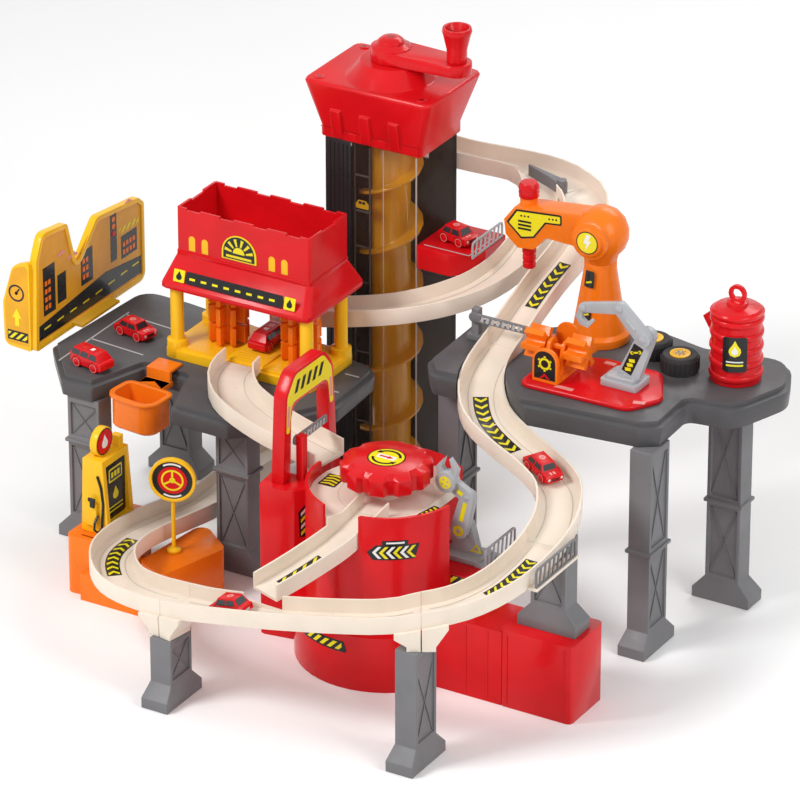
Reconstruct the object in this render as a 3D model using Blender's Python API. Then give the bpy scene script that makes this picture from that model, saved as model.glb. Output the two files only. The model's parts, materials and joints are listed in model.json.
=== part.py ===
"""Toy parking garage: a screw lift tower, sloping tracks, a wash house, a repair deck and a turntable drum.

Metres, +Z up. The origin is on the floor under the lift screw's axis. The front faces -Y.
"""
import math

import bmesh
import bpy
from mathutils import Matrix, Vector

# Clearances and mould sizes shared by everything
GAP = 0.0003
RUN_GAP = 0.0006
FIT_GAP = 0.0012
SEAT_GAP = 0.0005
EMBED = 0.0006
ARC_STEPS = 4

# Lift tower
TOWER_HALF_X = 0.054
TOWER_HALF_Y = 0.041
TOWER_TOP = 0.388
TOWER_WALL = 0.0028
TOWER_FLOOR = 0.006
TOWER_PANEL_WIDTH = 0.031
DOOR_HALF_WIDTH = 0.022
DOOR_HEIGHT = 0.036
SCREW_CORE_RADIUS = 0.0205
SCREW_RADIUS = 0.0335
SCREW_PITCH = 0.067
SCREW_FLIGHT = 0.0030
SHAFT_RADIUS = 0.006
HEAD_HEIGHT = 0.064
HEAD_LIP = 0.012
HEAD_BOTTOM = (0.120, 0.084)
HEAD_TOP = (0.149, 0.110)
HEAD_TOP_SHIFT = 0.003
CONE_HEIGHT = 0.018
CONE_RADII = (0.047, 0.032)
CRANK_LENGTH = 0.077
CRANK_THICKNESS = 0.014
CRANK_HUB_RADIUS = 0.021
CRANK_END_RADIUS = 0.0155
KNOB_HEIGHT = 0.037
KNOB_RADII = (0.0105, 0.0155)
SHELF_TOP = 0.290
SHELF_THICKNESS = 0.024
SHELF_REACH = 0.121
SHELF_Y = (-0.044, 0.028)

# Car tracks: outer widths are in the routes
TRACK_WALL = 0.0020
TRACK_FLOOR = 0.0030
TRACK_SIDE = 0.0150
TRACK_STEP = 0.013
CUP_DROP = 0.022
CUP_SHIFT = 0.010
DIVERTER_PIVOT = (0.1600, 0.0720)
DIVERTER_TIP = (0.1180, 0.0785)
DIVERTER_PIN = 0.002
DIVERTER_PIN_LENGTH = 0.030

# Decks
RIGHT_DECK_TOP = 0.250
RIGHT_DECK_THICKNESS = 0.026
LEFT_DECK_TOP = 0.185
LEFT_DECK_THICKNESS = 0.022
DECK_STEP_HEIGHT = 0.006
DECK_STEP_WIDTH = 0.005

# Legs
LEG_WIDTH = 0.038
LEG_DEPTH = 0.024
LEG_FOOT_LENGTH = 0.064
LEG_FOOT_WIDTH = 0.030
LEG_FOOT_HEIGHT = 0.025
LEG_FOOT_EDGE = 0.011
LEG_COLLAR_HEIGHT = 0.110
LEG_COLLAR = 0.0025
LEG_PANEL_DEPTH = 0.0025
LEG_PANEL_MARGIN = 0.004

# Wash house
WASH_X = (-0.146, 0.028)
WASH_Y = (-0.208, -0.121)
WASH_BASE_HEIGHT = 0.013
WASH_LANE_X = -0.052
WASH_LANE_WIDTH = 0.042
POST_RADIUS = 0.007
POST_SOCKET_RADIUS = 0.011
POST_INSET = 0.010
ROOF_BOTTOM = 0.264
ROOF_SLOPE_HEIGHT = 0.031
HOPPER_HEIGHT = 0.048
NOTCH_DEPTH = 0.0022
HOPPER_WALL = 0.0028
ROOF_LOW = (-0.150, 0.028, -0.210, -0.098)
ROOF_HIGH = (-0.1465, 0.0145, -0.184, -0.106)
HOPPER = (-0.145, 0.013, -0.182, -0.108)
BRUSH_OFFSET = 0.043
BRUSH_RADIUS = 0.021
BRUSH_CORE_RADIUS = 0.008
BRUSH_TIERS = 3
BRUSH_BLADES = 8

# Turntable drum and its deck
STATION_X = 0.192
STATION_Y = -0.334
PLINTH_RADIUS = 0.092
PLINTH_HEIGHT = 0.060
DRUM_RADIUS = 0.080
STATION_DECK = 0.172
RIM_HEIGHT = 0.014
RIM_WALL = 0.003
DECK_DEPTH = 0.012
ENTRY_COLUMN_TOP = 0.165
ARCH_X = (0.074, 0.088)
ARCH_Y = (-0.358, -0.256)
ARCH_TOP = 0.279
KNOB_TEETH = 10
TURN_KNOB_RADIUS = 0.046
TURN_KNOB_ROOT = 0.041
TURN_KNOB_HEIGHT = 0.022
TURN_KNOB_LIFT = 0.018

# Cars
CAR_LENGTH = 0.044
CAR_WIDTH = 0.0215
CAR_HEIGHT = 0.019
WHEEL_RADIUS = 0.0052
WHEEL_WIDTH = 0.0022
CAR_LIFT = 0.0008
VAN_STYLE = (0.044, -0.021, 0.016, 0.009, 0.020)
COUPE_STYLE = (0.044, -0.015, 0.009, 0.0075, 0.0175)
BEETLE_STYLE = (0.040, -0.014, 0.010, 0.0075, 0.0185)
VAN_PLACE = (-0.196, -0.266, LEFT_DECK_TOP + GAP)
COUPE_PLACE = (-0.198, -0.182, LEFT_DECK_TOP + GAP)
VAN_HEADING = -12.0
BUS_PLACE = (WASH_LANE_X, -0.160, LEFT_DECK_TOP + WASH_BASE_HEIGHT + 0.002 + GAP)
SHELF_CAR_PLACE = (0.086, -0.012, SHELF_TOP + GAP)
SHELF_CAR_HEADING = -12.0

# Routes: x, y, floor height and outer width along each track
MAIN_LINE = [
    (-0.034, 0.0603, 0.350, 0.038), (0.020, 0.0608, 0.347, 0.038), (0.060, 0.067, 0.343, 0.038),
    (0.100, 0.080, 0.338, 0.042), (0.140, 0.088, 0.332, 0.047), (0.178, 0.079, 0.324, 0.048),
    (0.1965, 0.058, 0.316, 0.046), (0.206, 0.036, 0.307, 0.045), (0.208, 0.005, 0.295, 0.042),
    (0.205, -0.038, 0.280, 0.040), (0.205, -0.082, 0.265, 0.039), (0.207, -0.128, 0.250, 0.040),
    (0.209, -0.165, 0.238, 0.042), (0.220, -0.198, 0.228, 0.046), (0.245, -0.230, 0.219, 0.048),
    (0.282, -0.252, 0.212, 0.047), (0.325, -0.270, 0.205, 0.046), (0.360, -0.292, 0.198, 0.046),
    (0.380, -0.328, 0.190, 0.044), (0.388, -0.366, 0.183, 0.042), (0.388, -0.405, 0.176, 0.041),
    (0.380, -0.445, 0.168, 0.041), (0.360, -0.480, 0.160, 0.042), (0.330, -0.503, 0.153, 0.044),
    (0.290, -0.519, 0.143, 0.042), (0.200, -0.525, 0.124, 0.040), (0.110, -0.522, 0.106, 0.042),
    (0.062, -0.517, 0.098, 0.046), (0.020, -0.508, 0.092, 0.046), (-0.018, -0.490, 0.086, 0.046),
    (-0.048, -0.460, 0.081, 0.046), (-0.068, -0.425, 0.076, 0.046), (-0.077, -0.385, 0.070, 0.046),
    (-0.079, -0.345, 0.064, 0.047), (-0.077, -0.300, 0.057, 0.047), (-0.074, -0.250, 0.049, 0.042),
    (-0.080, -0.200, 0.043, 0.040), (-0.089, -0.150, 0.037, 0.040), (-0.092, -0.105, 0.032, 0.040),
    (-0.088, -0.060, 0.027, 0.040), (-0.077, -0.028, 0.022, 0.040), (-0.058, -0.013, 0.019, 0.038),
    (-0.040, -0.008, 0.016, 0.038)]
UPPER, SLIDE, S_CURVE, RIGHT_BEND, FRONT_RUN = (0, 6), (6, 11), (11, 19), (19, 23), (23, 27)
LEFT_BEND = (27, len(MAIN_LINE) - 1)
WASH_LINE = [
    (0.092, 0.078, 0.339, 0.036), (0.118, 0.078, 0.334, 0.036), (0.138, 0.065, 0.323, 0.036),
    (0.151, 0.040, 0.307, 0.037), (0.155, 0.014, 0.291, 0.040), (0.147, -0.018, 0.272, 0.044),
    (0.128, -0.047, 0.257, 0.047), (0.098, -0.071, 0.245, 0.047), (0.064, -0.086, 0.235, 0.045),
    (0.030, -0.093, 0.226, 0.043), (0.000, -0.096, 0.219, 0.042), (-0.030, -0.098, 0.212, 0.042),
    (-0.050, -0.107, 0.207, 0.042), (-0.053, -0.1245, 0.20335, 0.042)]
BRANCH, WASH_RUN = (0, 3), (3, 13)
WASH_SLIDE_LINE = [
    (-0.052, -0.2082, 0.1985, 0.042), (-0.0515, -0.224, 0.1966, 0.043), (-0.043, -0.245, 0.1940, 0.047),
    (-0.024, -0.266, 0.190, 0.049),
    (0.006, -0.282, 0.187, 0.050), (0.045, -0.294, 0.182, 0.049), (0.080, -0.300, 0.178, 0.047),
    (0.1085, -0.3045, 0.1745, 0.046)]
EXIT_LINE = [
    (0.200, -0.368, 0.1715, 0.038), (0.193, -0.391, 0.160, 0.038), (0.184, -0.414, 0.148, 0.038),
    (0.168, -0.458, 0.136, 0.037), (0.1535, -0.4995, 0.1285, 0.036)]

# Outlines of the decks, corner by corner with each corner's radius
RIGHT_OUTLINE = [
    (0.150, -0.078, 0.010), (0.154, -0.190, 0.012), (0.172, -0.213, 0.008), (0.240, -0.209, 0.006),
    (0.262, -0.229, 0.014),
    (0.405, -0.2125, 0.004), (0.423, -0.199, 0.004), (0.4205, -0.140, 0.008), (0.470, -0.132, 0.030),
    (0.494, -0.062, 0.034), (0.468, -0.008, 0.030), (0.382, -0.026, 0.020), (0.325, -0.014, 0.012),
    (0.236, -0.050, 0.020), (0.205, -0.080, 0.010)]
LEFT_OUTLINE = [
    (-0.262, -0.240, 0.010), (-0.213, -0.298, 0.006), (-0.176, -0.298, 0.004), (-0.154, -0.232, 0.004),
    (-0.105, -0.234, 0.004), (-0.081, -0.299, 0.004), (-0.014, -0.300, 0.004), (0.034, -0.256, 0.012),
    (0.062, -0.212, 0.014), (0.056, -0.118, 0.020), (-0.190, -0.084, 0.012), (-0.252, -0.082, 0.024)]

# Places of what stands on the decks
ROBOT_X, ROBOT_Y = 0.279, -0.062
ROBOT_BASE_RADIUS = 0.031
ROBOT_NECK_RADIUS = 0.0165
ROBOT_BALL_RADIUS = 0.0285
ROBOT_BALL_HEIGHT = 0.366
ROBOT_DISC_RADIUS = 0.0195
ROBOT_DISC_REACH = 0.0255
ROBOT_ARM_HALF = 0.0135
DRILL_REACH = 0.0815
BARREL_X, BARREL_Y = 0.438, -0.072
BARREL_RADIUS = 0.027
BARREL_HEIGHT = 0.074
BARREL_RIBS = 5
PLATE_THICKNESS = 0.005
PLATE_OUTLINE = [
    (0.262, -0.200, 0.012), (0.384, -0.196, 0.014), (0.404, -0.160, 0.016), (0.376, -0.108, 0.014),
    (0.316, -0.108, 0.006), (0.262, -0.124, 0.010)]
SPARE_WHEELS = ((0.383, -0.086), (0.343, -0.068))
SPARE_RADIUS = 0.019
SPARE_HEIGHT = 0.018
SPARE_EDGE = 0.0015
CRANE_X, CRANE_Y = 0.356, -0.150
CRANE_JOINT = (0.381, 0.314)
CRANE_TIP = (0.313, 0.332)
CRANE_ELBOW = (0.354, 0.341)
ROCKER_X, ROCKER_Y, ROCKER_Z = 0.287, -0.160, 0.283
ROCKER_LENGTH = 0.068
STAND_Y = (-0.186, -0.178)
GRAB_PIVOT = (0.264, 0.143)
GRAB_ELBOW = (0.273, 0.181)
GRAB_CLAW = (0.2505, 0.194)
GRAB_POST_Y = (-0.309, -0.300)
PIN_RADIUS = 0.003
DRILL_PIN = 0.0045
GRAB_PEDESTAL = ((0.240, -0.345), (0.298, -0.284), 0.110)
BOX_LOW = (0.345, -0.378)
BOX_HIGH = (0.425, -0.314)
BOX_TOP = 0.085
SLIDE_LEG = (0.387, -0.346)
RIGHT_LEG_NEAR = (0.411, -0.199)
RIGHT_LEG_FAR = (0.433, -0.069)
RIGHT_LEG_INNER = (0.172, -0.160)
LEFT_LEG_FRONT = (-0.190, -0.282)
LEFT_LEG_INNER = (-0.025, -0.262)
LEFT_LEG_REAR = (-0.193, -0.107)

# Gates
GATE_POST = 0.008
GATE_BAR = 0.003
GATE_BAR_HALF = 0.0045
GATE_CLEARANCE = 0.0065
GATE = (0.174, -0.126)
GATE_LENGTH = 0.062
GATE_HEIGHT = RIGHT_DECK_TOP + TRACK_SIDE + GATE_BAR_HALF + GATE_CLEARANCE
ENTRY_GATE = (0.096, -0.336)
ENTRY_GATE_LENGTH = 0.056
ENTRY_GATE_CLEARANCE = 0.0145
ENTRY_GATE_HEIGHT = STATION_DECK + TRACK_SIDE + GATE_BAR_HALF + ENTRY_GATE_CLEARANCE

# Lattice fences: start, end, foot and height, each along Y at its own x
FENCE_THICKNESS = 0.002
FENCE_RAIL = 0.0018
FENCE_PITCH = 0.009
SHELF_FENCE = (0.1180, -0.040, 0.022, 0.0180)
CLAW_FENCE = (0.2955, -0.322, -0.262, 0.0220)
BEND_FENCE = (0.4125, -0.430, -0.352, 0.0200)
BEND_LEDGE = ((0.4065, -0.432, 0.1690), (0.4160, -0.350, 0.1715))

# Left side: tray, sign board, fuel corner and road sign
TRAY_OUTLINE = [
    (-0.163, -0.298, 0.016), (-0.102, -0.304, 0.018), (-0.099, -0.260, 0.010), (-0.158, -0.256, 0.010)]
TRAY_DEPTH = 0.037
TRAY_TAB_X = (-0.147, -0.117)
TRAY_TAB_Y = -0.218
BILLBOARD_X = (-0.2745, -0.2665)
BILLBOARD_OUTLINE = [
    (-0.262, 0.182, 0.004), (-0.056, 0.182, 0.010), (-0.056, 0.270, 0.006), (-0.066, 0.279, 0.006),
    (-0.145, 0.288, 0.010), (-0.184, 0.248, 0.006), (-0.200, 0.303, 0.006), (-0.246, 0.309, 0.010),
    (-0.258, 0.283, 0.010)]
BILLBOARD_SIDE = [
    (-0.272, 0.182, 0.002), (-0.272, 0.283, 0.004), (-0.292, 0.275, 0.012), (-0.305, 0.232, 0.010),
    (-0.304, 0.184, 0.008)]
GAS_BLOCK = [
    (-0.148, -0.396, 0.008), (-0.1035, -0.392, 0.004), (-0.1035, -0.302, 0.004), (-0.146, -0.306, 0.008)]
GAS_BLOCK_TOP = 0.064
GAS_FLOOR = ((-0.125, -0.404, 0.0), (-0.030, -0.340, 0.030))
GAS_STEM = ((-0.086, -0.392, 0.0), (-0.070, -0.376, 0.080))
GAS_ISLAND = [
    (-0.062, -0.391, 0.006), (-0.026, -0.406, 0.008), (-0.002, -0.324, 0.010), (-0.050, -0.288, 0.010)]
GAS_ISLAND_TOP = 0.055
PUMP = (-0.139, -0.1065, -0.378, -0.330)
PUMP_HEIGHT = 0.082
SIGN = (-0.043, -0.356)
SIGN_HEIGHT = 0.136
SIGN_RADIUS = 0.024
SIGN_TURN = math.radians(20)


def clear_scene():
    for item in list(bpy.data.objects):
        bpy.data.objects.remove(item)


def material(name, colour, roughness=0.35, alpha=1.0):
    """One Principled material; a piece below full alpha is clear plastic."""
    made = bpy.data.materials.new(name)
    made.use_nodes = True
    shader = made.node_tree.nodes["Principled BSDF"]
    shader.inputs["Base Color"].default_value = (*colour, 1.0)
    shader.inputs["Roughness"].default_value = roughness
    shader.inputs["Metallic"].default_value = 0.0
    shader.inputs["Alpha"].default_value = alpha
    return made


def make_materials():
    return {
        "red": material("red_plastic", (0.75, 0.02, 0.02)),
        "dark": material("dark_plastic", (0.055, 0.052, 0.055)),
        "deck": material("deck_plastic", (0.10, 0.10, 0.105)),
        "grey": material("grey_plastic", (0.25, 0.25, 0.27)),
        "silver": material("silver_plastic", (0.45, 0.46, 0.48)),
        "cream": material("cream_plastic", (0.83, 0.76, 0.66)),
        "yellow": material("yellow_plastic", (0.90, 0.55, 0.03)),
        "orange": material("orange_plastic", (0.90, 0.24, 0.02)),
        "clear": material("clear_plastic", (0.55, 0.45, 0.40), 0.1, 0.35),
        "amber": material("amber_plastic", (0.75, 0.42, 0.02), 0.2, 0.8),
    }


def piece_from(mesh_builder, name="piece"):
    """Wraps a bmesh as an object with its faces pointing out."""
    bmesh.ops.recalc_face_normals(mesh_builder, faces=mesh_builder.faces)
    mesh = bpy.data.meshes.new(name)
    mesh_builder.to_mesh(mesh)
    mesh_builder.free()
    made = bpy.data.objects.new(name, mesh)
    bpy.context.scene.collection.objects.link(made)
    return made


def loft(sections):
    """A closed solid through outlines of equal length, each a list of (x, y, z)."""
    builder = bmesh.new()
    rings = [[builder.verts.new(point) for point in section] for section in sections]
    count = len(rings[0])
    builder.faces.new(rings[0])
    builder.faces.new(rings[-1])
    for lower, upper in zip(rings, rings[1:]):
        for index in range(count):
            following = (index + 1) % count
            builder.faces.new((lower[index], lower[following], upper[following], upper[index]))
    return piece_from(builder)


def at_height(outline, height):
    return [(x, y, height) for x, y in outline]


def prism(outline, bottom, top):
    return loft([at_height(outline, bottom), at_height(outline, top)])


def box(low, high):
    outline = [(low[0], low[1]), (high[0], low[1]), (high[0], high[1]), (low[0], high[1])]
    return prism(outline, low[2], high[2])


def slab(outline, start, end, axis):
    """An outline in the plane across an axis, swept from start to end along it.

    Axis Y takes (x, z) outlines, and axis X takes (y, z) outlines.
    """
    if axis == "Y":
        return loft([[(a, start, b) for a, b in outline], [(a, end, b) for a, b in outline]])
    return loft([[(start, a, b) for a, b in outline], [(end, a, b) for a, b in outline]])


def circle(x, y, radius, sides=24, first=0.0):
    return [(x + radius * math.cos(first + math.tau * index / sides),
             y + radius * math.sin(first + math.tau * index / sides)) for index in range(sides)]


def turned(profile, x, y, sides=24):
    """A solid of revolution about a vertical axis, through (radius, height) from bottom to top."""
    return loft([at_height(circle(x, y, radius, sides), height) for radius, height in profile])


def offset_corners(corners, distance):
    """Moves each side of a corner list inwards, keeping the corners and their radii in step."""
    points = [Vector(corner[:2]) for corner in corners]
    turning = sum(a.x * b.y - b.x * a.y for a, b in zip(points, points[1:] + points[:1]))
    side = 1.0 if turning > 0 else -1.0
    moved = []
    for index, corner in enumerate(corners):
        here = points[index]
        before = (here - points[index - 1]).normalized()
        after = (points[(index + 1) % len(points)] - here).normalized()
        normal_before = Vector((-before.y, before.x)) * side
        normal_after = Vector((-after.y, after.x)) * side
        bisector = (normal_before + normal_after).normalized()
        reach = distance / max(bisector.dot(normal_before), 0.3)
        bulge = side * (before.x * after.y - before.y * after.x)
        radius = max(corner[2] - distance, 0.001) if bulge > 0 else corner[2] + distance
        place = here + bisector * reach
        moved.append((place.x, place.y, radius))
    return moved


def rounded(corners, steps=ARC_STEPS):
    """An outline with every corner (x, y, radius) turned into an arc."""
    outline = []
    points = [Vector(corner[:2]) for corner in corners]
    for index, corner in enumerate(corners):
        here = points[index]
        back = points[index - 1] - here
        ahead = points[(index + 1) % len(points)] - here
        angle = back.angle(ahead)
        reach = min(corner[2] / math.tan(angle / 2), 0.48 * back.length, 0.48 * ahead.length)
        radius = reach * math.tan(angle / 2)
        towards = (back.normalized() + ahead.normalized()).normalized()
        centre = here + towards * math.hypot(radius, reach)
        start = here + back.normalized() * reach - centre
        end = here + ahead.normalized() * reach - centre
        first = math.atan2(start.y, start.x)
        sweep = (math.atan2(end.y, end.x) - first + math.pi) % math.tau - math.pi
        for step in range(steps + 1):
            turn = first + sweep * step / steps
            outline.append((centre.x + radius * math.cos(turn), centre.y + radius * math.sin(turn)))
    return outline


def rectangle(x0, x1, y0, y1, radius):
    return [(x0, y0, radius), (x1, y0, radius), (x1, y1, radius), (x0, y1, radius)]


def boolean(body, tool, operation):
    """Joins or cuts body with tool, which is used up."""
    modifier = body.modifiers.new(operation.lower(), "BOOLEAN")
    modifier.object = tool
    modifier.operation = operation
    modifier.solver = "EXACT"
    evaluated = body.evaluated_get(bpy.context.evaluated_depsgraph_get())
    shaped = bpy.data.meshes.new_from_object(evaluated)
    body.modifiers.clear()
    old = body.data
    body.data = shaped
    bpy.data.meshes.remove(old)
    bpy.data.objects.remove(tool)
    return body


def unite(body, *others):
    for other in others:
        boolean(body, other, "UNION")
    return body


def cut(body, *tools):
    for tool in tools:
        boolean(body, tool, "DIFFERENCE")
    return body


def finish(piece, name, surface, smooth=None, origin=None):
    """Names a piece, dissolves its flat seams, shades it and puts its origin in place."""
    builder = bmesh.new()
    builder.from_mesh(piece.data)
    bmesh.ops.remove_doubles(builder, verts=builder.verts, dist=0.00001)
    bmesh.ops.dissolve_limit(builder, angle_limit=math.radians(0.5), verts=builder.verts,
                             edges=builder.edges)
    if origin is not None:
        bmesh.ops.translate(builder, verts=builder.verts, vec=-Vector(origin))
        piece.location = origin
    builder.to_mesh(piece.data)
    builder.free()
    piece.name = name
    piece.data.name = name
    piece.data.materials.clear()
    piece.data.materials.append(surface)
    if smooth is not None:
        piece.data.shade_smooth()
        piece.data.set_sharp_from_angle(angle=math.radians(smooth))
    return piece


def stations(route, ends=None, trim=GAP / 2, step=TRACK_STEP):
    """Places, headings and widths along the smooth curve through a route's points.

    ends picks the stretch between two of its points; trim shortens it at both.
    """
    last = len(route) - 1
    places = []
    for index in range(last):
        before = route[max(index - 1, 0)]
        start, end = route[index], route[index + 1]
        beyond = route[min(index + 2, last)]
        pieces = max(1, round(math.dist(start[:3], end[:3]) / step))
        for number in range(pieces):
            t = number / pieces
            places.append((index + t, [
                0.5 * (2 * b + (c - a) * t + (2 * a - 5 * b + 4 * c - d) * t * t
                       + (3 * b - a - 3 * c + d) * t * t * t)
                for a, b, c, d in zip(before, start, end, beyond)]))
    places.append((last, list(route[last])))
    first_point, last_point = ends or (0, last)
    chosen = []
    for index, (point, (x, y, z, width)) in enumerate(places):
        behind = places[max(index - 1, 0)][1]
        ahead = places[min(index + 1, len(places) - 1)][1]
        heading = Vector((ahead[0] - behind[0], ahead[1] - behind[1], ahead[2] - behind[2]))
        if first_point <= point <= last_point:
            chosen.append((Vector((x, y, z)), heading / heading.xy.length, width))
    for index, sign in ((0, 1), (-1, -1)):
        place, heading, width = chosen[index]
        chosen[index] = (place + heading * trim * sign, heading, width)
    return chosen


def swept(line, section):
    """Sweeps section(width), a list of (across, up), along stations, kept upright."""
    rings = []
    for place, heading, width in line:
        left = Vector((-heading.y, heading.x, 0.0))
        rings.append([tuple(place + left * across + Vector((0, 0, up))) for across, up in section(width)])
    return loft(rings)


def channel_section(width):
    half = width / 2
    inner = half - TRACK_WALL
    return [(-half, -TRACK_FLOOR), (half, -TRACK_FLOOR), (half, TRACK_SIDE), (inner, TRACK_SIDE),
            (inner, 0.0), (-inner, 0.0), (-inner, TRACK_SIDE), (-half, TRACK_SIDE)]


def solid_section(width):
    half = width / 2
    return [(-half, -TRACK_FLOOR), (half, -TRACK_FLOOR), (half, TRACK_SIDE), (-half, TRACK_SIDE)]


def hollow_section(width):
    half = width / 2 - TRACK_WALL
    return [(-half, 0.0), (half, 0.0), (half, TRACK_SIDE * 3), (-half, TRACK_SIDE * 3)]


def envelope_section(width):
    """The space a track needs in what it passes through."""
    half = width / 2 + FIT_GAP
    return [(-half, -TRACK_FLOOR - SEAT_GAP), (half, -TRACK_FLOOR - SEAT_GAP),
            (half, TRACK_SIDE * 5), (-half, TRACK_SIDE * 5)]


def track(route, ends=None):
    return swept(stations(route, ends), channel_section)


def passage(route, ends=None, beyond=0.010):
    """The space that a track takes up, a little longer than it, as a cutting tool."""
    return swept(stations(route, ends, -beyond), envelope_section)


def floor_at(route, x, y):
    """The floor height of a route at its station nearest to a place."""
    nearest = min(stations(route, step=0.004), key=lambda s: (s[0].x - x) ** 2 + (s[0].y - y) ** 2)
    return nearest[0].z


def leg(name, x, y, bottom, top, wide_axis, surface):
    """A leg with a flared foot, a collar and sunk panels; its wide sides lie along wide_axis."""
    def rect(length, depth):
        half_x, half_y = (length / 2, depth / 2) if wide_axis == "X" else (depth / 2, length / 2)
        return [(x - half_x, y - half_y), (x + half_x, y - half_y),
                (x + half_x, y + half_y), (x - half_x, y + half_y)]
    foot = loft([at_height(rect(LEG_FOOT_LENGTH, LEG_FOOT_WIDTH), bottom),
                 at_height(rect(LEG_FOOT_LENGTH, LEG_FOOT_WIDTH), bottom + LEG_FOOT_EDGE),
                 at_height(rect(LEG_WIDTH, LEG_DEPTH), bottom + LEG_FOOT_HEIGHT),
                 at_height(rect(LEG_WIDTH, LEG_DEPTH), top)])
    collar = bottom + LEG_COLLAR_HEIGHT
    panels = [(bottom + LEG_FOOT_HEIGHT + LEG_PANEL_MARGIN, top - LEG_PANEL_MARGIN * 2)]
    if top > collar + LEG_FOOT_HEIGHT:
        unite(foot, prism(rect(LEG_WIDTH + LEG_COLLAR * 2, LEG_DEPTH + LEG_COLLAR * 2),
                          collar, collar + LEG_COLLAR * 1.5))
        panels = [(panels[0][0], collar - LEG_PANEL_MARGIN),
                  (collar + LEG_PANEL_MARGIN * 2, panels[0][1])]
    half = LEG_WIDTH / 2 - LEG_PANEL_MARGIN
    for low, high in panels:
        for side in (-1, 1):
            inner = side * (LEG_DEPTH / 2 - LEG_PANEL_DEPTH)
            outer = side * LEG_DEPTH
            near, far = min(inner, outer), max(inner, outer)
            if wide_axis == "X":
                pocket = box((x - half, y + near, low), (x + half, y + far, high))
            else:
                pocket = box((x + near, y - half, low), (x + far, y + half, high))
            cut(foot, pocket)
    return finish(foot, name, surface)


def fence(place, foot):
    """A lattice fence along Y with upright bars, standing on a foot height."""
    x, start, end, height = place
    corners = [(start, foot - EMBED, 0.0005), (end, foot - EMBED, 0.0005), (end, foot + height, 0.004),
               (start, foot + height, 0.004)]
    panel = slab(rounded(corners, 2), x, x + FENCE_THICKNESS, "X")
    count = round((end - start) / FENCE_PITCH)
    pitch = (end - start - FENCE_RAIL) / count
    for number in range(count):
        low = start + FENCE_RAIL + pitch * number
        rise = height - FENCE_RAIL if 0 < number < count - 1 else height - FENCE_RAIL * 2
        cut(panel, box((x - 0.01, low, foot + FENCE_RAIL),
                       (x + 0.01, low + pitch - FENCE_RAIL, foot + rise)))
    return panel


# Tower

def tower_shell(mats):
    inner_x, inner_y = TOWER_HALF_X - TOWER_WALL, TOWER_HALF_Y - TOWER_WALL
    shell = box((-TOWER_HALF_X, -TOWER_HALF_Y, 0.0), (TOWER_HALF_X, TOWER_HALF_Y, TOWER_TOP - GAP))
    inside = box((-inner_x, -inner_y, TOWER_FLOOR), (inner_x, inner_y, TOWER_TOP * 1.1))
    panel_edge = TOWER_PANEL_WIDTH - TOWER_HALF_X
    front = box((panel_edge, -TOWER_HALF_Y * 1.2, TOWER_FLOOR),
                (TOWER_HALF_X * 1.2, -inner_y + EMBED, TOWER_TOP * 1.1))
    right = box((inner_x - EMBED, -TOWER_HALF_Y * 1.2, TOWER_FLOOR),
                (TOWER_HALF_X * 1.2, TOWER_HALF_Y - TOWER_WALL, TOWER_TOP * 1.1))
    sill = floor_at(MAIN_LINE, 0.0, TOWER_HALF_Y)
    door = box((-DOOR_HALF_WIDTH, inner_y - EMBED, sill),
               (DOOR_HALF_WIDTH, TOWER_HALF_Y * 1.2, sill + DOOR_HEIGHT))
    inlet = swept(stations(MAIN_LINE, (LEFT_BEND[1] - 2, LEFT_BEND[1]), 0.0), hollow_section)
    return finish(cut(shell, inside, front, right, door, inlet), "tower_shell", mats["dark"])


def tower_window(mats):
    """The clear corner window, which slides in over the shell's open corner."""
    inner_x, inner_y = TOWER_HALF_X - TOWER_WALL, TOWER_HALF_Y - TOWER_WALL
    bottom, top = TOWER_FLOOR + GAP, TOWER_TOP - GAP
    left = TOWER_PANEL_WIDTH - TOWER_HALF_X + GAP
    back = TOWER_HALF_Y - TOWER_WALL - GAP
    outline = [(left, -TOWER_HALF_Y), (TOWER_HALF_X, -TOWER_HALF_Y), (TOWER_HALF_X, back),
               (inner_x, back), (inner_x, -inner_y), (left, -inner_y)]
    window = prism(outline, bottom, top)
    return finish(window, "tower_window", mats["clear"])


def spiral_lift(mats):
    """The screw: a core, one continuous flight and the shaft up to the crank."""
    bottom = TOWER_FLOOR + GAP
    top = TOWER_TOP - 0.012
    core = turned([(SCREW_CORE_RADIUS, bottom), (SCREW_CORE_RADIUS, top),
                   (SHAFT_RADIUS, top + 0.004), (SHAFT_RADIUS, crank_bottom() - GAP)], 0, 0, 24)
    steps_per_turn = 16
    start, end = bottom + 0.004, top - 0.006
    count = int((end - start) / SCREW_PITCH * steps_per_turn)
    rings = []
    for number in range(count + 1):
        turn = math.tau * number / steps_per_turn
        z = start + (end - start) * number / count
        ring = []
        for radius, lift in ((SCREW_CORE_RADIUS - 0.002, 0.0), (SCREW_RADIUS, 0.0),
                             (SCREW_RADIUS, SCREW_FLIGHT), (SCREW_CORE_RADIUS - 0.002, SCREW_FLIGHT)):
            ring.append((radius * math.cos(turn), radius * math.sin(turn), z + lift))
        rings.append(ring)
    return finish(unite(core, loft(rings)), "spiral_lift", mats["amber"], 40, (0, 0, 0))


def head_top():
    return TOWER_TOP + HEAD_HEIGHT


def crank_bottom():
    return head_top() + CONE_HEIGHT + RUN_GAP


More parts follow.
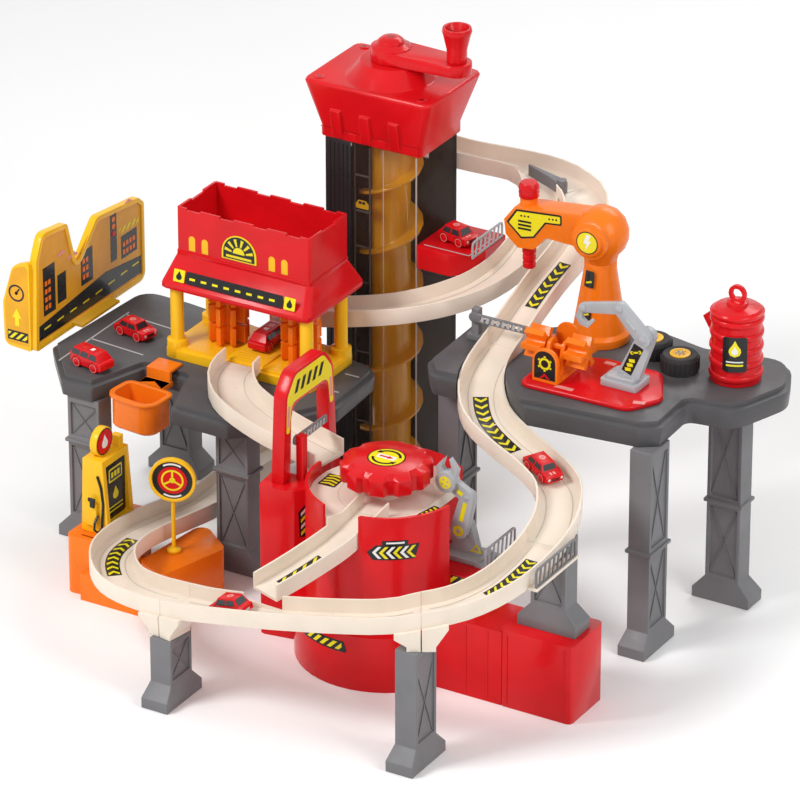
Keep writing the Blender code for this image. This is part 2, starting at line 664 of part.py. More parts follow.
def tower_head(mats):
    def rect(size, radius, shift=0.0):
        half_x, half_y = size[0] / 2, size[1] / 2
        return rounded(rectangle(-half_x, half_x, shift - half_y, shift + half_y, radius), 3)
    bottom = TOWER_TOP
    head = loft([at_height(rect(HEAD_BOTTOM, 0.006), bottom),
                 at_height(rect(HEAD_BOTTOM, 0.006), bottom + HEAD_LIP),
                 at_height(rect(HEAD_TOP, 0.008, HEAD_TOP_SHIFT), head_top() - 0.003),
                 at_height(rect((HEAD_TOP[0] - 0.003, HEAD_TOP[1] - 0.003), 0.008, HEAD_TOP_SHIFT),
                           head_top())])
    cone = turned([(CONE_RADII[0], head_top() - EMBED), (CONE_RADII[1], head_top() + CONE_HEIGHT)], 0, 0)
    unite(head, cone)
    for number in (-1, 0, 1):
        middle = number * 0.034 - 0.004
        low, high = bottom + 0.002, bottom + 0.034
        rib = loft([[(middle - 0.006, -HEAD_BOTTOM[1] / 2 - 0.002, low),
                     (middle + 0.006, -HEAD_BOTTOM[1] / 2 - 0.002, low),
                     (middle + 0.006, -HEAD_BOTTOM[1] / 2 + 0.006, low),
                     (middle - 0.006, -HEAD_BOTTOM[1] / 2 + 0.006, low)],
                    [(middle - 0.006, -HEAD_BOTTOM[1] / 2 - 0.0075, high),
                     (middle + 0.006, -HEAD_BOTTOM[1] / 2 - 0.0075, high),
                     (middle + 0.006, -HEAD_BOTTOM[1] / 2 + 0.004, high),
                     (middle - 0.006, -HEAD_BOTTOM[1] / 2 + 0.004, high)]])
        unite(head, rib)
    hole = turned([(SHAFT_RADIUS + RUN_GAP, bottom - 0.01), (SHAFT_RADIUS + RUN_GAP, head_top() + 0.03)],
                  0, 0, 16)
    return finish(cut(head, hole), "tower_head", mats["red"], 30)


def crank_arm(mats):
    low = crank_bottom()
    high = low + CRANK_THICKNESS
    hub = turned([(CRANK_HUB_RADIUS, low), (CRANK_HUB_RADIUS, high), (0.014, high + 0.003),
                  (0.0135, high + 0.006), (0.010, high + 0.009), (0.005, high + 0.010)], 0, 0)
    outline = []
    for radius, x, first in ((CRANK_HUB_RADIUS - 0.001, 0.0, math.pi / 2),
                             (CRANK_END_RADIUS, CRANK_LENGTH, -math.pi / 2)):
        for step in range(9):
            turn = first + math.pi * step / 8
            outline.append((x + radius * math.cos(turn), radius * math.sin(turn)))
    arm = prism(outline, low + 0.0005, high - 0.001)
    pin = turned([(0.0035, high - 0.002), (0.0035, high + KNOB_HEIGHT * 0.38)], CRANK_LENGTH, 0, 12)
    return finish(unite(hub, arm, pin), "crank_arm", mats["red"], 30, (0, 0, 0))


def crank_knob(mats):
    low = crank_bottom() + CRANK_THICKNESS - 0.001 + GAP
    high = low + KNOB_HEIGHT
    knob = turned([(KNOB_RADII[0], low), (KNOB_RADII[0], low + KNOB_HEIGHT * 0.35),
                   (KNOB_RADII[1] - 0.001, high - 0.007), (KNOB_RADII[1], high - 0.004),
                   (KNOB_RADII[1] - 0.0008, high)], CRANK_LENGTH, 0)
    cup = turned([(0.006, low + KNOB_HEIGHT * 0.42), (KNOB_RADII[1] - 0.003, high + 0.001)],
                 CRANK_LENGTH, 0, 16)
    bore = turned([(0.0039, low - 0.001), (0.0039, low + KNOB_HEIGHT * 0.6)], CRANK_LENGTH, 0, 12)
    return finish(cut(knob, cup, bore), "crank_knob", mats["red"], 40, (CRANK_LENGTH, 0, low))


def parking_shelf(mats):
    outline = rounded(rectangle(TOWER_HALF_X + GAP, SHELF_REACH, *SHELF_Y, 0.004), 3)
    shelf = prism(outline, SHELF_TOP - SHELF_THICKNESS, SHELF_TOP)
    cut(shelf, passage(WASH_LINE, WASH_RUN))
    return finish(unite(shelf, fence(SHELF_FENCE, SHELF_TOP)), "parking_shelf", mats["red"])


# Tracks

def upper_track(mats):
    """The track behind the tower, which forks into the outer slide and the wash branch."""
    body = unite(swept(stations(MAIN_LINE, UPPER), solid_section),
                 swept(stations(WASH_LINE, BRANCH), solid_section))
    cut(body, swept(stations(MAIN_LINE, UPPER, -0.004), hollow_section))
    cut(body, swept(stations(WASH_LINE, BRANCH, -0.004), hollow_section))
    sill = floor_at(MAIN_LINE, 0.0, TOWER_HALF_Y)
    doorway = box((-DOOR_HALF_WIDTH, TOWER_HALF_Y - 0.001, sill),
                  (DOOR_HALF_WIDTH, TOWER_HALF_Y + 0.006, sill + DOOR_HEIGHT))
    x, y = DIVERTER_PIVOT
    hole = turned([(DIVERTER_PIN + GAP, 0.29), (DIVERTER_PIN + GAP, 0.36)], x, y, 16)
    return finish(cut(body, doorway, hole), "upper_track", mats["cream"], 30)


def diverter(mats):
    """The points blade on the fork, which sends a car down one branch or the other."""
    root_x, root_y = DIVERTER_PIVOT
    aim = (Vector(DIVERTER_TIP) - Vector(DIVERTER_PIVOT)).normalized()
    side = Vector((-aim.y, aim.x))
    rings = []
    for share, half in ((-0.10, 0.004), (0.0, 0.006), (0.3, 0.004), (1.0, 0.0012)):
        place = Vector(DIVERTER_PIVOT).lerp(Vector(DIVERTER_TIP), share)
        low = floor_at(MAIN_LINE, place.x, place.y + 0.02) + 0.0015
        left, right = place + side * half, place - side * half
        high = low + TRACK_SIDE * 0.8
        rings.append([(left.x, left.y, low), (right.x, right.y, low), (right.x, right.y, high),
                      (left.x, left.y, high)])
    blade = loft(rings)
    top = rings[1][2][2] + 0.002
    low = top - DIVERTER_PIN_LENGTH
    unite(blade, turned([(DIVERTER_PIN, low), (DIVERTER_PIN, top - 0.012), (0.005, top - 0.011),
                         (0.005, top)], root_x, root_y, 16))
    return finish(blade, "diverter", mats["grey"], 30, (root_x, root_y, low))


def half_cup(joint, side):
    """Half of the foot under a track joint, where a front leg's top goes."""
    place, heading, width = joint
    flat = heading.xy.normalized()
    left = Vector((-flat.y, flat.x))
    under = place.z - TRACK_FLOOR

    def ring(reach, half, height):
        points = []
        for along, across in ((GAP * 2, half), (reach, half), (reach, -half), (GAP * 2, -half)):
            spot = place.xy + flat * along * side + left * (across + CUP_SHIFT)
            lift = height + heading.z * along * side if height > under - 0.006 else height
            points.append((spot.x, spot.y, lift))
        return points
    low = under - CUP_DROP
    narrow, wide = LEG_WIDTH / 2 - 0.004, width / 2 - 0.007
    return loft([ring(0.014, narrow, low), ring(0.014, narrow, low + 0.005),
                 ring(0.026, wide, under - 0.004), ring(0.026, wide, under + 0.001)])


def joint_at(route, point):
    return stations(route, (point, point + 1), 0.0)[0]


def slide_upper(mats):
    return finish(track(MAIN_LINE, SLIDE), "slide_upper", mats["cream"], 30)


def slide_s_curve(mats):
    return finish(track(MAIN_LINE, S_CURVE), "slide_s_curve", mats["cream"], 30)


def slide_right(mats):
    """The right bend, with a fence on the ledge outside it."""
    bend = unite(track(MAIN_LINE, RIGHT_BEND), half_cup(joint_at(MAIN_LINE, RIGHT_BEND[1]), -1))
    ledge = box(*BEND_LEDGE)
    unite(bend, unite(ledge, fence(BEND_FENCE, BEND_LEDGE[1][2])))
    return finish(bend, "slide_right", mats["cream"], 30)


def slide_front(mats):
    run = unite(track(MAIN_LINE, FRONT_RUN), half_cup(joint_at(MAIN_LINE, FRONT_RUN[0]), 1),
                half_cup(joint_at(MAIN_LINE, FRONT_RUN[1]), -1))
    end, _, width = stations(EXIT_LINE)[-1]
    mouth = box((end.x - width / 2 - 0.004, end.y - 0.016, end.z - 0.010),
                (end.x + width / 2 + 0.006, end.y + 0.010, end.z + 0.030))
    return finish(cut(run, mouth), "slide_front", mats["cream"], 30)


def slide_left(mats):
    bend = unite(track(MAIN_LINE, LEFT_BEND), half_cup(joint_at(MAIN_LINE, LEFT_BEND[0]), 1))
    cut(bend, box((-TOWER_HALF_X - GAP, -TOWER_HALF_Y, 0.0), (0.0, TOWER_HALF_Y, 0.1)))
    return finish(bend, "slide_left", mats["cream"], 30)


def wash_track(mats):
    return finish(track(WASH_LINE, WASH_RUN), "wash_track", mats["cream"], 30)


def wash_slide(mats):
    return finish(track(WASH_SLIDE_LINE), "wash_slide", mats["cream"], 30)


def front_leg(name, point, mats):
    place = joint_at(MAIN_LINE, point)[0]
    top = place.z - TRACK_FLOOR - CUP_DROP - GAP
    return leg(name, place.x, place.y - CUP_SHIFT, 0.0, top, "Y", mats["grey"])


def slide_leg(mats):
    x, y = SLIDE_LEG
    made = leg("slide_leg", x, y, BOX_TOP + GAP, floor_at(MAIN_LINE, x, y) + 0.002, "X", mats["grey"])
    return finish(cut(made, passage(MAIN_LINE, S_CURVE, 0.0)), "slide_leg", mats["grey"])


# Swinging gates

def bar_gate(name, x, y, z, along, length, surface):
    """A barrier bar with a hub and a pin into its post; it lies along one axis, away from the post."""
    def place(reach, side, up):
        if along == "X":
            return (x + reach, y - side, z + up)
        return (x - side, y + reach, z + up)
    near, far = GATE_POST / 2 + GAP, GATE_POST / 2 + GAP + GATE_BAR

    def plate(outline):
        return loft([[place(a, near, b) for a, b in outline], [place(a, far, b) for a, b in outline]])
    hub = plate(circle(0, 0, 0.0055, 16))
    bar = plate([(0.0, -GATE_BAR_HALF), (length, 0.0005 - GATE_BAR_HALF),
                 (length, GATE_BAR_HALF - 0.0005), (0.0, GATE_BAR_HALF)])
    pin = loft([[place(a, 0.0, b) for a, b in circle(0, 0, 0.0018, 12)],
                [place(a, near + 0.001, b) for a, b in circle(0, 0, 0.0018, 12)]])
    unite(hub, bar, pin)
    slots = max(2, round(length / 0.016))
    for number in range(slots):
        start = 0.008 + (length - 0.011) * number / slots
        wide = (length - 0.011) / slots - 0.003
        hole = [(start, -0.0022), (start + wide, -0.0022), (start + wide, 0.0022), (start, 0.0022)]
        cut(hub, loft([[place(a, near - 0.001, b) for a, b in hole],
                       [place(a, far + 0.001, b) for a, b in hole]]))
    return finish(hub, name, surface, 30, (x, y, z))


def pin_hole(x, y, z, along):
    """The hole in a gate post for its bar's pin."""
    if along == "X":
        return slab(circle(x, z, 0.0022, 12), y - 0.01, y + GAP, "Y")
    return slab(circle(y, z, 0.0022, 12), x - 0.01, x + GAP, "X")


def gate_post(mats):
    x, y = GATE
    low = RIGHT_DECK_TOP + GAP
    half = GATE_POST / 2
    post = box((x - half, y - half, low), (x + half, y + half, GATE_HEIGHT + 0.008))
    unite(post, box((x - 0.008, y - 0.007, low), (x + 0.007, y + 0.007, low + 0.006)))
    return finish(cut(post, pin_hole(x, y, GATE_HEIGHT, "X")), "gate_post", mats["grey"])


def gate_arm(mats):
    return bar_gate("gate_arm", GATE[0], GATE[1], GATE_HEIGHT, "X", GATE_LENGTH, mats["grey"])


def entry_gate_arm(mats):
    return bar_gate("entry_gate_arm", ENTRY_GATE[0], ENTRY_GATE[1], ENTRY_GATE_HEIGHT, "Y",
                    ENTRY_GATE_LENGTH, mats["grey"])


# Wash house

def wash_post_places():
    xs = (WASH_X[0] + POST_INSET, WASH_X[1] - POST_INSET)
    ys = (WASH_Y[0] + POST_INSET, WASH_Y[1] - POST_INSET)
    return [(x, y) for x in xs for y in ys]


def wash_base(mats):
    low = LEFT_DECK_TOP + GAP
    top = LEFT_DECK_TOP + WASH_BASE_HEIGHT
    slab_corners = rectangle(*WASH_X, *WASH_Y, 0.006)
    step = 0.003
    base = loft([at_height(rounded(slab_corners, 2), low),
                 at_height(rounded(slab_corners, 2), top - 0.003),
                 at_height(rounded(offset_corners(slab_corners, step), 2), top - 0.003),
                 at_height(rounded(offset_corners(slab_corners, step), 2), top)])
    half = WASH_LANE_WIDTH / 2
    unite(base, box((WASH_LANE_X - half, WASH_Y[0] + step * 1.5, top - EMBED),
                    (WASH_LANE_X + half, WASH_Y[1] - GAP, top + 0.002)))
    for x, y in wash_post_places():
        unite(base, turned([(POST_SOCKET_RADIUS, low + 0.002), (POST_SOCKET_RADIUS, top + 0.006),
                            (POST_RADIUS, top + 0.007), (POST_RADIUS, ROOF_BOTTOM - GAP)], x, y, 16))
    return finish(base, "wash_base", mats["yellow"], 30)


def wash_house(mats):
    """The roof and the open hopper on it, one red moulding."""
    hopper_top = ROOF_BOTTOM + ROOF_SLOPE_HEIGHT + HOPPER_HEIGHT
    eaves = ROOF_BOTTOM + ROOF_SLOPE_HEIGHT
    low = rounded(rectangle(*ROOF_LOW, 0.008), 2)
    high = rounded(rectangle(*ROOF_HIGH, 0.006), 2)
    wall = rounded(rectangle(*HOPPER, 0.002), 1)
    roof = loft([at_height(low, ROOF_BOTTOM), at_height(low, ROOF_BOTTOM + 0.005),
                 at_height(high, eaves - 0.004), at_height(high, eaves)])
    hopper = loft([at_height(wall, eaves - 0.002), at_height(wall, hopper_top)])
    unite(roof, hopper)
    x0, x1, y0, y1 = HOPPER
    cut(roof, box((x0 + HOPPER_WALL, y0 + HOPPER_WALL, eaves + 0.001),
                  (x1 - HOPPER_WALL, y1 - HOPPER_WALL, hopper_top + 0.01)))
    notch = hopper_top - NOTCH_DEPTH
    for number in range(4):
        middle = x0 + (x1 - x0) * (number + 0.5) / 4
        cut(roof, box((middle - 0.008, y0 - 0.01, notch), (middle + 0.008, y1 + 0.01, hopper_top + 0.01)))
    middle = (y0 + y1) / 2
    cut(roof, box((x0 - 0.01, middle - 0.012, notch), (x1 + 0.01, middle + 0.012, hopper_top + 0.01)))
    return finish(roof, "wash_house", mats["red"], 25)


def star(x, y, root, tip, teeth, share=0.5):
    """A toothed outline with four points to each tooth; share is the tooth's part of its pitch."""
    outline = []
    pitch = math.tau / teeth
    for number in range(teeth):
        middle = pitch * number
        for radius, shift in ((root, -0.62 * share), (tip, -0.38 * share),
                              (tip, 0.38 * share), (root, 0.62 * share)):
            turn = middle + shift * pitch
            outline.append((x + radius * math.cos(turn), y + radius * math.sin(turn)))
    return outline


def wash_brush(name, side, mats):
    """A wash brush: tiers of paddles round a core, turning on the base."""
    x = WASH_LANE_X + side * BRUSH_OFFSET
    y = (WASH_Y[0] + WASH_Y[1]) / 2
    low = LEFT_DECK_TOP + WASH_BASE_HEIGHT + GAP
    high = ROOF_BOTTOM - GAP * 2
    tier = (high - low) / BRUSH_TIERS
    full = star(x, y, BRUSH_CORE_RADIUS, BRUSH_RADIUS, BRUSH_BLADES, 0.42)
    narrow = star(x, y, BRUSH_CORE_RADIUS, BRUSH_CORE_RADIUS + 0.001, BRUSH_BLADES, 0.42)
    sections = [at_height(narrow, low)]
    for number in range(BRUSH_TIERS):
        bottom = low + tier * number + 0.002
        top = low + tier * (number + 1) - 0.001
        sections += [at_height(narrow, bottom), at_height(full, bottom), at_height(full, top),
                     at_height(narrow, top)]
    sections.append(at_height(narrow, high))
    return finish(loft(sections), name, mats["orange"], None, (x, y, low))


# Left platform and what stands on it

def stepped_deck(corners, top, thickness):
    inner = offset_corners(corners, DECK_STEP_WIDTH)
    under = offset_corners(corners, 0.0015)
    return loft([at_height(rounded(under), top - thickness),
                 at_height(rounded(corners), top - thickness * 0.45),
                 at_height(rounded(corners), top - DECK_STEP_HEIGHT),
                 at_height(rounded(inner), top - DECK_STEP_HEIGHT + 0.001),
                 at_height(rounded(inner), top)])


def left_platform(mats):
    deck = stepped_deck(LEFT_OUTLINE, LEFT_DECK_TOP, LEFT_DECK_THICKNESS)
    cut(deck, passage(WASH_SLIDE_LINE, None, 0.0))
    return finish(deck, "left_platform", mats["deck"])


def left_leg(name, place, wide_axis, mats):
    top = LEFT_DECK_TOP - LEFT_DECK_THICKNESS - GAP
    return leg(name, place[0], place[1], 0.0, top, wide_axis, mats["grey"])


def tray(mats):
    """The catch tray that hangs by its tab on the platform's notch."""
    top = LEFT_DECK_TOP - 0.008
    bottom = top - TRAY_DEPTH
    lip = offset_corners(TRAY_OUTLINE, 0.003)
    low = offset_corners(TRAY_OUTLINE, 0.006)
    bowl = loft([at_height(rounded(low), bottom), at_height(rounded(lip), bottom + 0.003),
                 at_height(rounded(lip), top - 0.004), at_height(rounded(TRAY_OUTLINE), top - 0.003),
                 at_height(rounded(TRAY_OUTLINE), top)])
    x0, x1 = TRAY_TAB_X
    y1 = TRAY_TAB_Y
    deck = LEFT_DECK_TOP + GAP
    unite(bowl, box((x0, y1 - 0.046, top - 0.006), (x1, y1 - 0.0195, top - 0.0005)))
    unite(bowl, box((x0 + 0.001, y1 - 0.0240, top - 0.002), (x1 - 0.001, y1 - 0.0200, deck + 0.003)))
    unite(bowl, box((x0 + 0.001, y1 - 0.0240, deck), (x1 - 0.001, y1, deck + 0.003)))
    inner = rounded(offset_corners(TRAY_OUTLINE, 0.0055))
    floor = rounded(offset_corners(TRAY_OUTLINE, 0.0085))
    cut(bowl, loft([at_height(floor, bottom + 0.003), at_height(inner, bottom + 0.006),
                    at_height(inner, top + 0.02)]))
    return finish(bowl, "tray", mats["orange"], 30)


def billboard(mats):
    """The tall sign at the platform's left edge, with a folded narrow panel."""
    x0, x1 = BILLBOARD_X
    board = slab(rounded(BILLBOARD_OUTLINE, 3), x0, x1, "X")
    face = rounded(offset_corners(BILLBOARD_OUTLINE, 0.005), 3)
    cut(board, slab(face, x1 - 0.0015, x1 + 0.01, "X"))
    front = BILLBOARD_OUTLINE[0][0]
    unite(board, slab(rounded(BILLBOARD_SIDE, 3), front - 0.002, front + 0.004, "Y"))
    low = LEFT_DECK_TOP + GAP
    unite(board, box((x1 - 0.004, -0.195, low), (-0.254, -0.125, low + 0.003)))
    return finish(board, "billboard", mats["yellow"], 30)


# Fuel corner

def gas_base(mats):
    body = prism(rounded(GAS_BLOCK), 0.0, GAS_BLOCK_TOP)
    unite(body, box(*GAS_FLOOR))
    unite(body, prism(rounded(GAS_ISLAND), 0.0, GAS_ISLAND_TOP))
    unite(body, box(*GAS_STEM))
    cut(body, passage(MAIN_LINE, LEFT_BEND, 0.0))
    return finish(body, "gas_base", mats["orange"], 30)


def gas_pump(mats):
    """A tapered pump with a round badge on top, a hose holster and a nozzle."""
    x0, x1, y0, y1 = PUMP
    low = GAS_BLOCK_TOP + GAP
    top = low + PUMP_HEIGHT
    lean = 0.006
    body = slab([(x0, low), (x1, low), (x1 - lean, top), (x0 + lean * 0.5, top)], y0, y1, "Y")
    middle = (y0 + y1) / 2
    x = (x0 + x1) / 2 - 0.002
    unite(body, slab(circle(middle - 0.006, top + 0.014, 0.0155, 24), x - 0.004, x + 0.004, "X"))
    unite(body, box((x0 + 0.006, y0 - 0.004, low + 0.010), (x1 - 0.012, y0 + 0.001, low + 0.034)))
    unite(body, box((x - 0.002, y1 - 0.010, top - 0.002), (x + 0.008, y1 - 0.002, top + 0.012)))
    face = [(y0 + 0.006, low + 0.012), (y1 - 0.006, low + 0.012), (y1 - 0.006, top - 0.008),
            (y0 + 0.006, top - 0.008)]
    cut(body, slab(face, x1 - lean - 0.0005, x1 + 0.01, "X"))
    return finish(body, "gas_pump", mats["yellow"], 30)


def road_sign(mats):
    """A round sign on a pole; its disc looks to the front right."""
    x, y = SIGN
    low = GAS_ISLAND_TOP + GAP
    pole = turned([(0.0075, low), (0.0075, low + 0.003), (0.0022, low + 0.005),
                   (0.0022, SIGN_HEIGHT - SIGN_RADIUS + 0.003)], x, y, 12)
    facing = Vector((math.sin(SIGN_TURN), -math.cos(SIGN_TURN), 0.0))
    across = Vector((math.cos(SIGN_TURN), math.sin(SIGN_TURN), 0.0))
    centre = Vector((x, y, SIGN_HEIGHT))

    def disc(radius, out):
        return [tuple(centre + across * a + Vector((0, 0, b)) + facing * out)
                for a, b in circle(0, 0, radius, 28)]
    plate = loft([disc(SIGN_RADIUS, -0.003), disc(SIGN_RADIUS, 0.003), disc(SIGN_RADIUS - 0.003, 0.003),
                  disc(SIGN_RADIUS - 0.003, 0.0015)])
    return finish(unite(plate, pole), "road_sign", mats["yellow"], 30)


# Turntable drum

def grabber_notch(clearance):
    """The corner cut out of the drum over the claw's pedestal."""
    (x0, y0), (x1, y1), top = GRAB_PEDESTAL
    return box((x0 + 0.002 - clearance, y0 - 0.002 - clearance, top),
               (x1 + 0.01, y1 + 0.04, STATION_DECK + 0.05))


def station_base(mats):
    """The red drum on its plinth, with the entry column, the claw's pedestal and the leg's box."""
    drum_top = STATION_DECK - DECK_DEPTH
    body = turned([(PLINTH_RADIUS, 0.0), (PLINTH_RADIUS, PLINTH_HEIGHT), (DRUM_RADIUS, PLINTH_HEIGHT + 0.002),
                   (DRUM_RADIUS, STATION_DECK + RIM_HEIGHT)], STATION_X, STATION_Y, 48)
    (x0, y0), (x1, y1), top = GRAB_PEDESTAL
    unite(body, box((x0, y0, 0.0), (x1, y1, top)))
    unite(body, box((0.250, -0.3775, 0.0), (BOX_LOW[0] + 0.002, -0.322, BOX_TOP - 0.004)))
    unite(body, prism(rounded(rectangle(BOX_LOW[0], BOX_HIGH[0], BOX_LOW[1], BOX_HIGH[1], 0.005), 2),
                      0.0, BOX_TOP))
    column = rounded([(0.066, -0.372, 0.006), (0.104, -0.366, 0.004), (0.124, -0.334, 0.003),
                      (0.062, -0.330, 0.004)], 2)
    unite(body, prism(column, 0.0, ENTRY_COLUMN_TOP))
    unite(body, box((0.066, -0.345, 0.0), (0.125, -0.256, 0.080)))
    unite(body, box((0.072, -0.275, 0.078), (0.092, -0.256, ENTRY_COLUMN_TOP)))
    x, y = ENTRY_GATE
    half = GATE_POST / 2
    unite(body, box((x - half, y - half, ENTRY_COLUMN_TOP - 0.001),
                    (x + half, y + half, ENTRY_GATE_HEIGHT + 0.007)))
    cut(body, pin_hole(x, y, ENTRY_GATE_HEIGHT, "Y"))
    cut(body, turned([(DRUM_RADIUS - RIM_WALL, drum_top), (DRUM_RADIUS - RIM_WALL, STATION_DECK + 0.03)],
                     STATION_X, STATION_Y, 48))
    cut(body, box((0.100, -0.330, drum_top), (0.140, -0.282, STATION_DECK + 0.03)))
    cut(body, passage(EXIT_LINE, None, 0.0))
    cut(body, passage(WASH_SLIDE_LINE, (4, 7), 0.004), grabber_notch(0.0))
    return finish(body, "station_base", mats["red"], 30)


def station_deck(mats):
    """The cream deck inside the rim and the exit chute that leaves through the drum."""
    low, high = STATION_DECK - DECK_DEPTH + GAP, STATION_DECK
    radius = DRUM_RADIUS - RIM_WALL - GAP
    deck = turned([(radius, low), (radius, high)], STATION_X, STATION_Y, 48)
    cut(deck, grabber_notch(GAP))
    unite(deck, swept(stations(EXIT_LINE, None, 0.0), solid_section))
    cut(deck, swept(stations(EXIT_LINE, None, -0.006), hollow_section))
    unite(deck, turned([(0.014, high - 0.002), (0.014, high + TURN_KNOB_LIFT - GAP)], STATION_X, STATION_Y))
    unite(deck, turned([(0.005, high), (0.005, high + TURN_KNOB_LIFT + 0.008)], STATION_X, STATION_Y, 12))
    return finish(deck, "station_deck", mats["cream"], 30)


def gear_knob(mats):
    x, y = STATION_X, STATION_Y
    low = STATION_DECK + TURN_KNOB_LIFT
    high = low + TURN_KNOB_HEIGHT
    outer = star(x, y, TURN_KNOB_ROOT, TURN_KNOB_RADIUS, KNOB_TEETH, 0.62)
    upper = star(x, y, TURN_KNOB_ROOT - 0.002, TURN_KNOB_RADIUS - 0.002, KNOB_TEETH, 0.62)
    crown = star(x, y, TURN_KNOB_ROOT - 0.005, TURN_KNOB_ROOT - 0.0049, KNOB_TEETH, 0.62)
    knob = loft([at_height(upper, low), at_height(outer, low + 0.002), at_height(outer, high - 0.005),
                 at_height(upper, high - 0.0035), at_height(crown, high)])
    bore = turned([(0.0056, low - 0.001), (0.0056, low + 0.0095)], x, y, 12)
    return finish(cut(knob, bore), "gear_knob", mats["red"], 30, (x, y, low))


def station_arch(mats):
    """The arch over the entry track: two posts and a rounded hood."""
    y0, y1 = ARCH_Y
    x0, x1 = ARCH_X
    low, high = ENTRY_COLUMN_TOP + GAP, ARCH_TOP
    outer = rounded([(y0, low, 0.0005), (y1, low, 0.0005), (y1 - 0.006, high - 0.020, 0.02),
                     (y1 - 0.022, high, 0.012), (y0 + 0.022, high, 0.012),
                     (y0 + 0.006, high - 0.020, 0.02)], 3)
    wall = 0.013
    inner = rounded([(y0 + wall, low - 0.01, 0.0005), (y1 - wall, low - 0.01, 0.0005),
                     (y1 - wall - 0.004, high - 0.034, 0.014), (y0 + wall + 0.004, high - 0.034, 0.014)], 3)
    arch = slab(outer, x0, x1, "X")
    cut(arch, slab(inner, x0 - 0.01, x1 + 0.01, "X"))
    return finish(arch, "station_arch", mats["red"], 30)


# Claw on the pedestal

def grabber_base(mats):
    x, z = GRAB_PIVOT
    low = GRAB_PEDESTAL[2] + GAP
    y0, y1 = GRAB_POST_Y
    foot = box((x - 0.020, y0 - 0.012, low), (x + 0.024, y1 + 0.010, low + 0.005))
    post = slab(rounded([(x - 0.014, low + 0.004, 0.001), (x + 0.018, low + 0.004, 0.001),
                         (x + 0.008, z + 0.009, 0.008), (x - 0.008, z + 0.009, 0.008)], 3), y0, y1, "Y")
    unite(foot, post)
    rail = box((x + 0.020, CLAW_FENCE[1], low), (CLAW_FENCE[0] + FENCE_THICKNESS, y1 + 0.010, low + 0.003))
    unite(foot, rail, fence(CLAW_FENCE, low + EMBED))
    cut(foot, slab(circle(x, z, PIN_RADIUS + GAP, 12), y0 - 0.01, y1 + 0.01, "Y"))
    return finish(foot, "grabber_base", mats["grey"], 30)


def bar_outline(a, b, half_a, half_b):
    """A capsule-like outline from one round end to the other, in its own plane."""
    start, end = Vector(a), Vector(b)
    turn = math.atan2(end.y - start.y, end.x - start.x)
    outline = []
    for centre, radius, first in ((start, half_a, turn + math.pi / 2), (end, half_b, turn - math.pi / 2)):
        for step in range(7):
            angle = first + math.pi * step / 6
            outline.append((centre.x + radius * math.cos(angle), centre.y + radius * math.sin(angle)))
    return outline


def grabber_arm(mats):
    """The lever with a gripping claw at its end; its pin turns in the base."""
    x, z = GRAB_PIVOT
    cx, cz = GRAB_CLAW
    y1 = GRAB_POST_Y[0] - GAP
    y0 = y1 - 0.009
    arm = slab(bar_outline((x, z), GRAB_ELBOW, 0.009, 0.0075), y0, y1, "Y")
    unite(arm, slab(circle(*GRAB_ELBOW, 0.0078, 16), y0 + 0.0004, y1 - 0.0004, "Y"))
    unite(arm, slab(bar_outline(GRAB_ELBOW, (cx, cz), 0.0074, 0.0064), y0 + 0.0008, y1 - 0.0008, "Y"))
    unite(arm, slab(circle(x, z, PIN_RADIUS, 12), y1 - 0.001, GRAB_POST_Y[1], "Y"))
    unite(arm, slab(circle(cx, cz, 0.011, 20), y0 - 0.003, y1 - 0.001, "Y"))
    for side in (-1, 1):
        claw = [(cx + side * 0.009, cz + 0.002), (cx + side * 0.012, cz + 0.014),
                (cx + side * 0.003, cz + 0.025), (cx + side * 0.006, cz + 0.014),
                (cx + side * 0.002, cz + 0.008)]
        unite(arm, slab(claw, y0, y1 - 0.002, "Y"))
    return finish(arm, "grabber_arm", mats["silver"], 30, (x, GRAB_POST_Y[0], z))


# Right platform and the repair deck on it

def right_platform(mats):
    """The repair deck, with two spare wheels moulded on it."""
    deck = stepped_deck(RIGHT_OUTLINE, RIGHT_DECK_TOP, RIGHT_DECK_THICKNESS)
    cut(deck, passage(MAIN_LINE, S_CURVE), passage(WASH_LINE, WASH_RUN))
    top = RIGHT_DECK_TOP + SPARE_HEIGHT
    for x, y in SPARE_WHEELS:
        profile = [(SPARE_RADIUS - SPARE_EDGE, RIGHT_DECK_TOP - EMBED),
                   (SPARE_RADIUS, RIGHT_DECK_TOP + SPARE_EDGE * 2), (SPARE_RADIUS, top - SPARE_EDGE * 2),
                   (SPARE_RADIUS - SPARE_EDGE * 2, top)]
        unite(deck, turned(profile, x, y, 22))
    return finish(deck, "right_platform", mats["deck"])


def right_leg(name, place, wide_axis, mats):
    top = RIGHT_DECK_TOP - RIGHT_DECK_THICKNESS - GAP
    return leg(name, place[0], place[1], 0.0, top, wide_axis, mats["grey"])


def robot_base(mats):
    low = RIGHT_DECK_TOP + GAP
    high = ROBOT_BALL_HEIGHT - ROBOT_BALL_RADIUS - 0.001
    profile = [(ROBOT_BASE_RADIUS, low), (ROBOT_BASE_RADIUS, low + 0.008),
               (ROBOT_BASE_RADIUS - 0.004, low + 0.012),
               (ROBOT_NECK_RADIUS + 0.002, high - 0.020), (ROBOT_NECK_RADIUS, high - 0.008),
               (ROBOT_NECK_RADIUS, high), (0.006, high), (0.006, high + 0.010)]
    return finish(turned(profile, ROBOT_X, ROBOT_Y, 28), "robot_base", mats["orange"], 30)


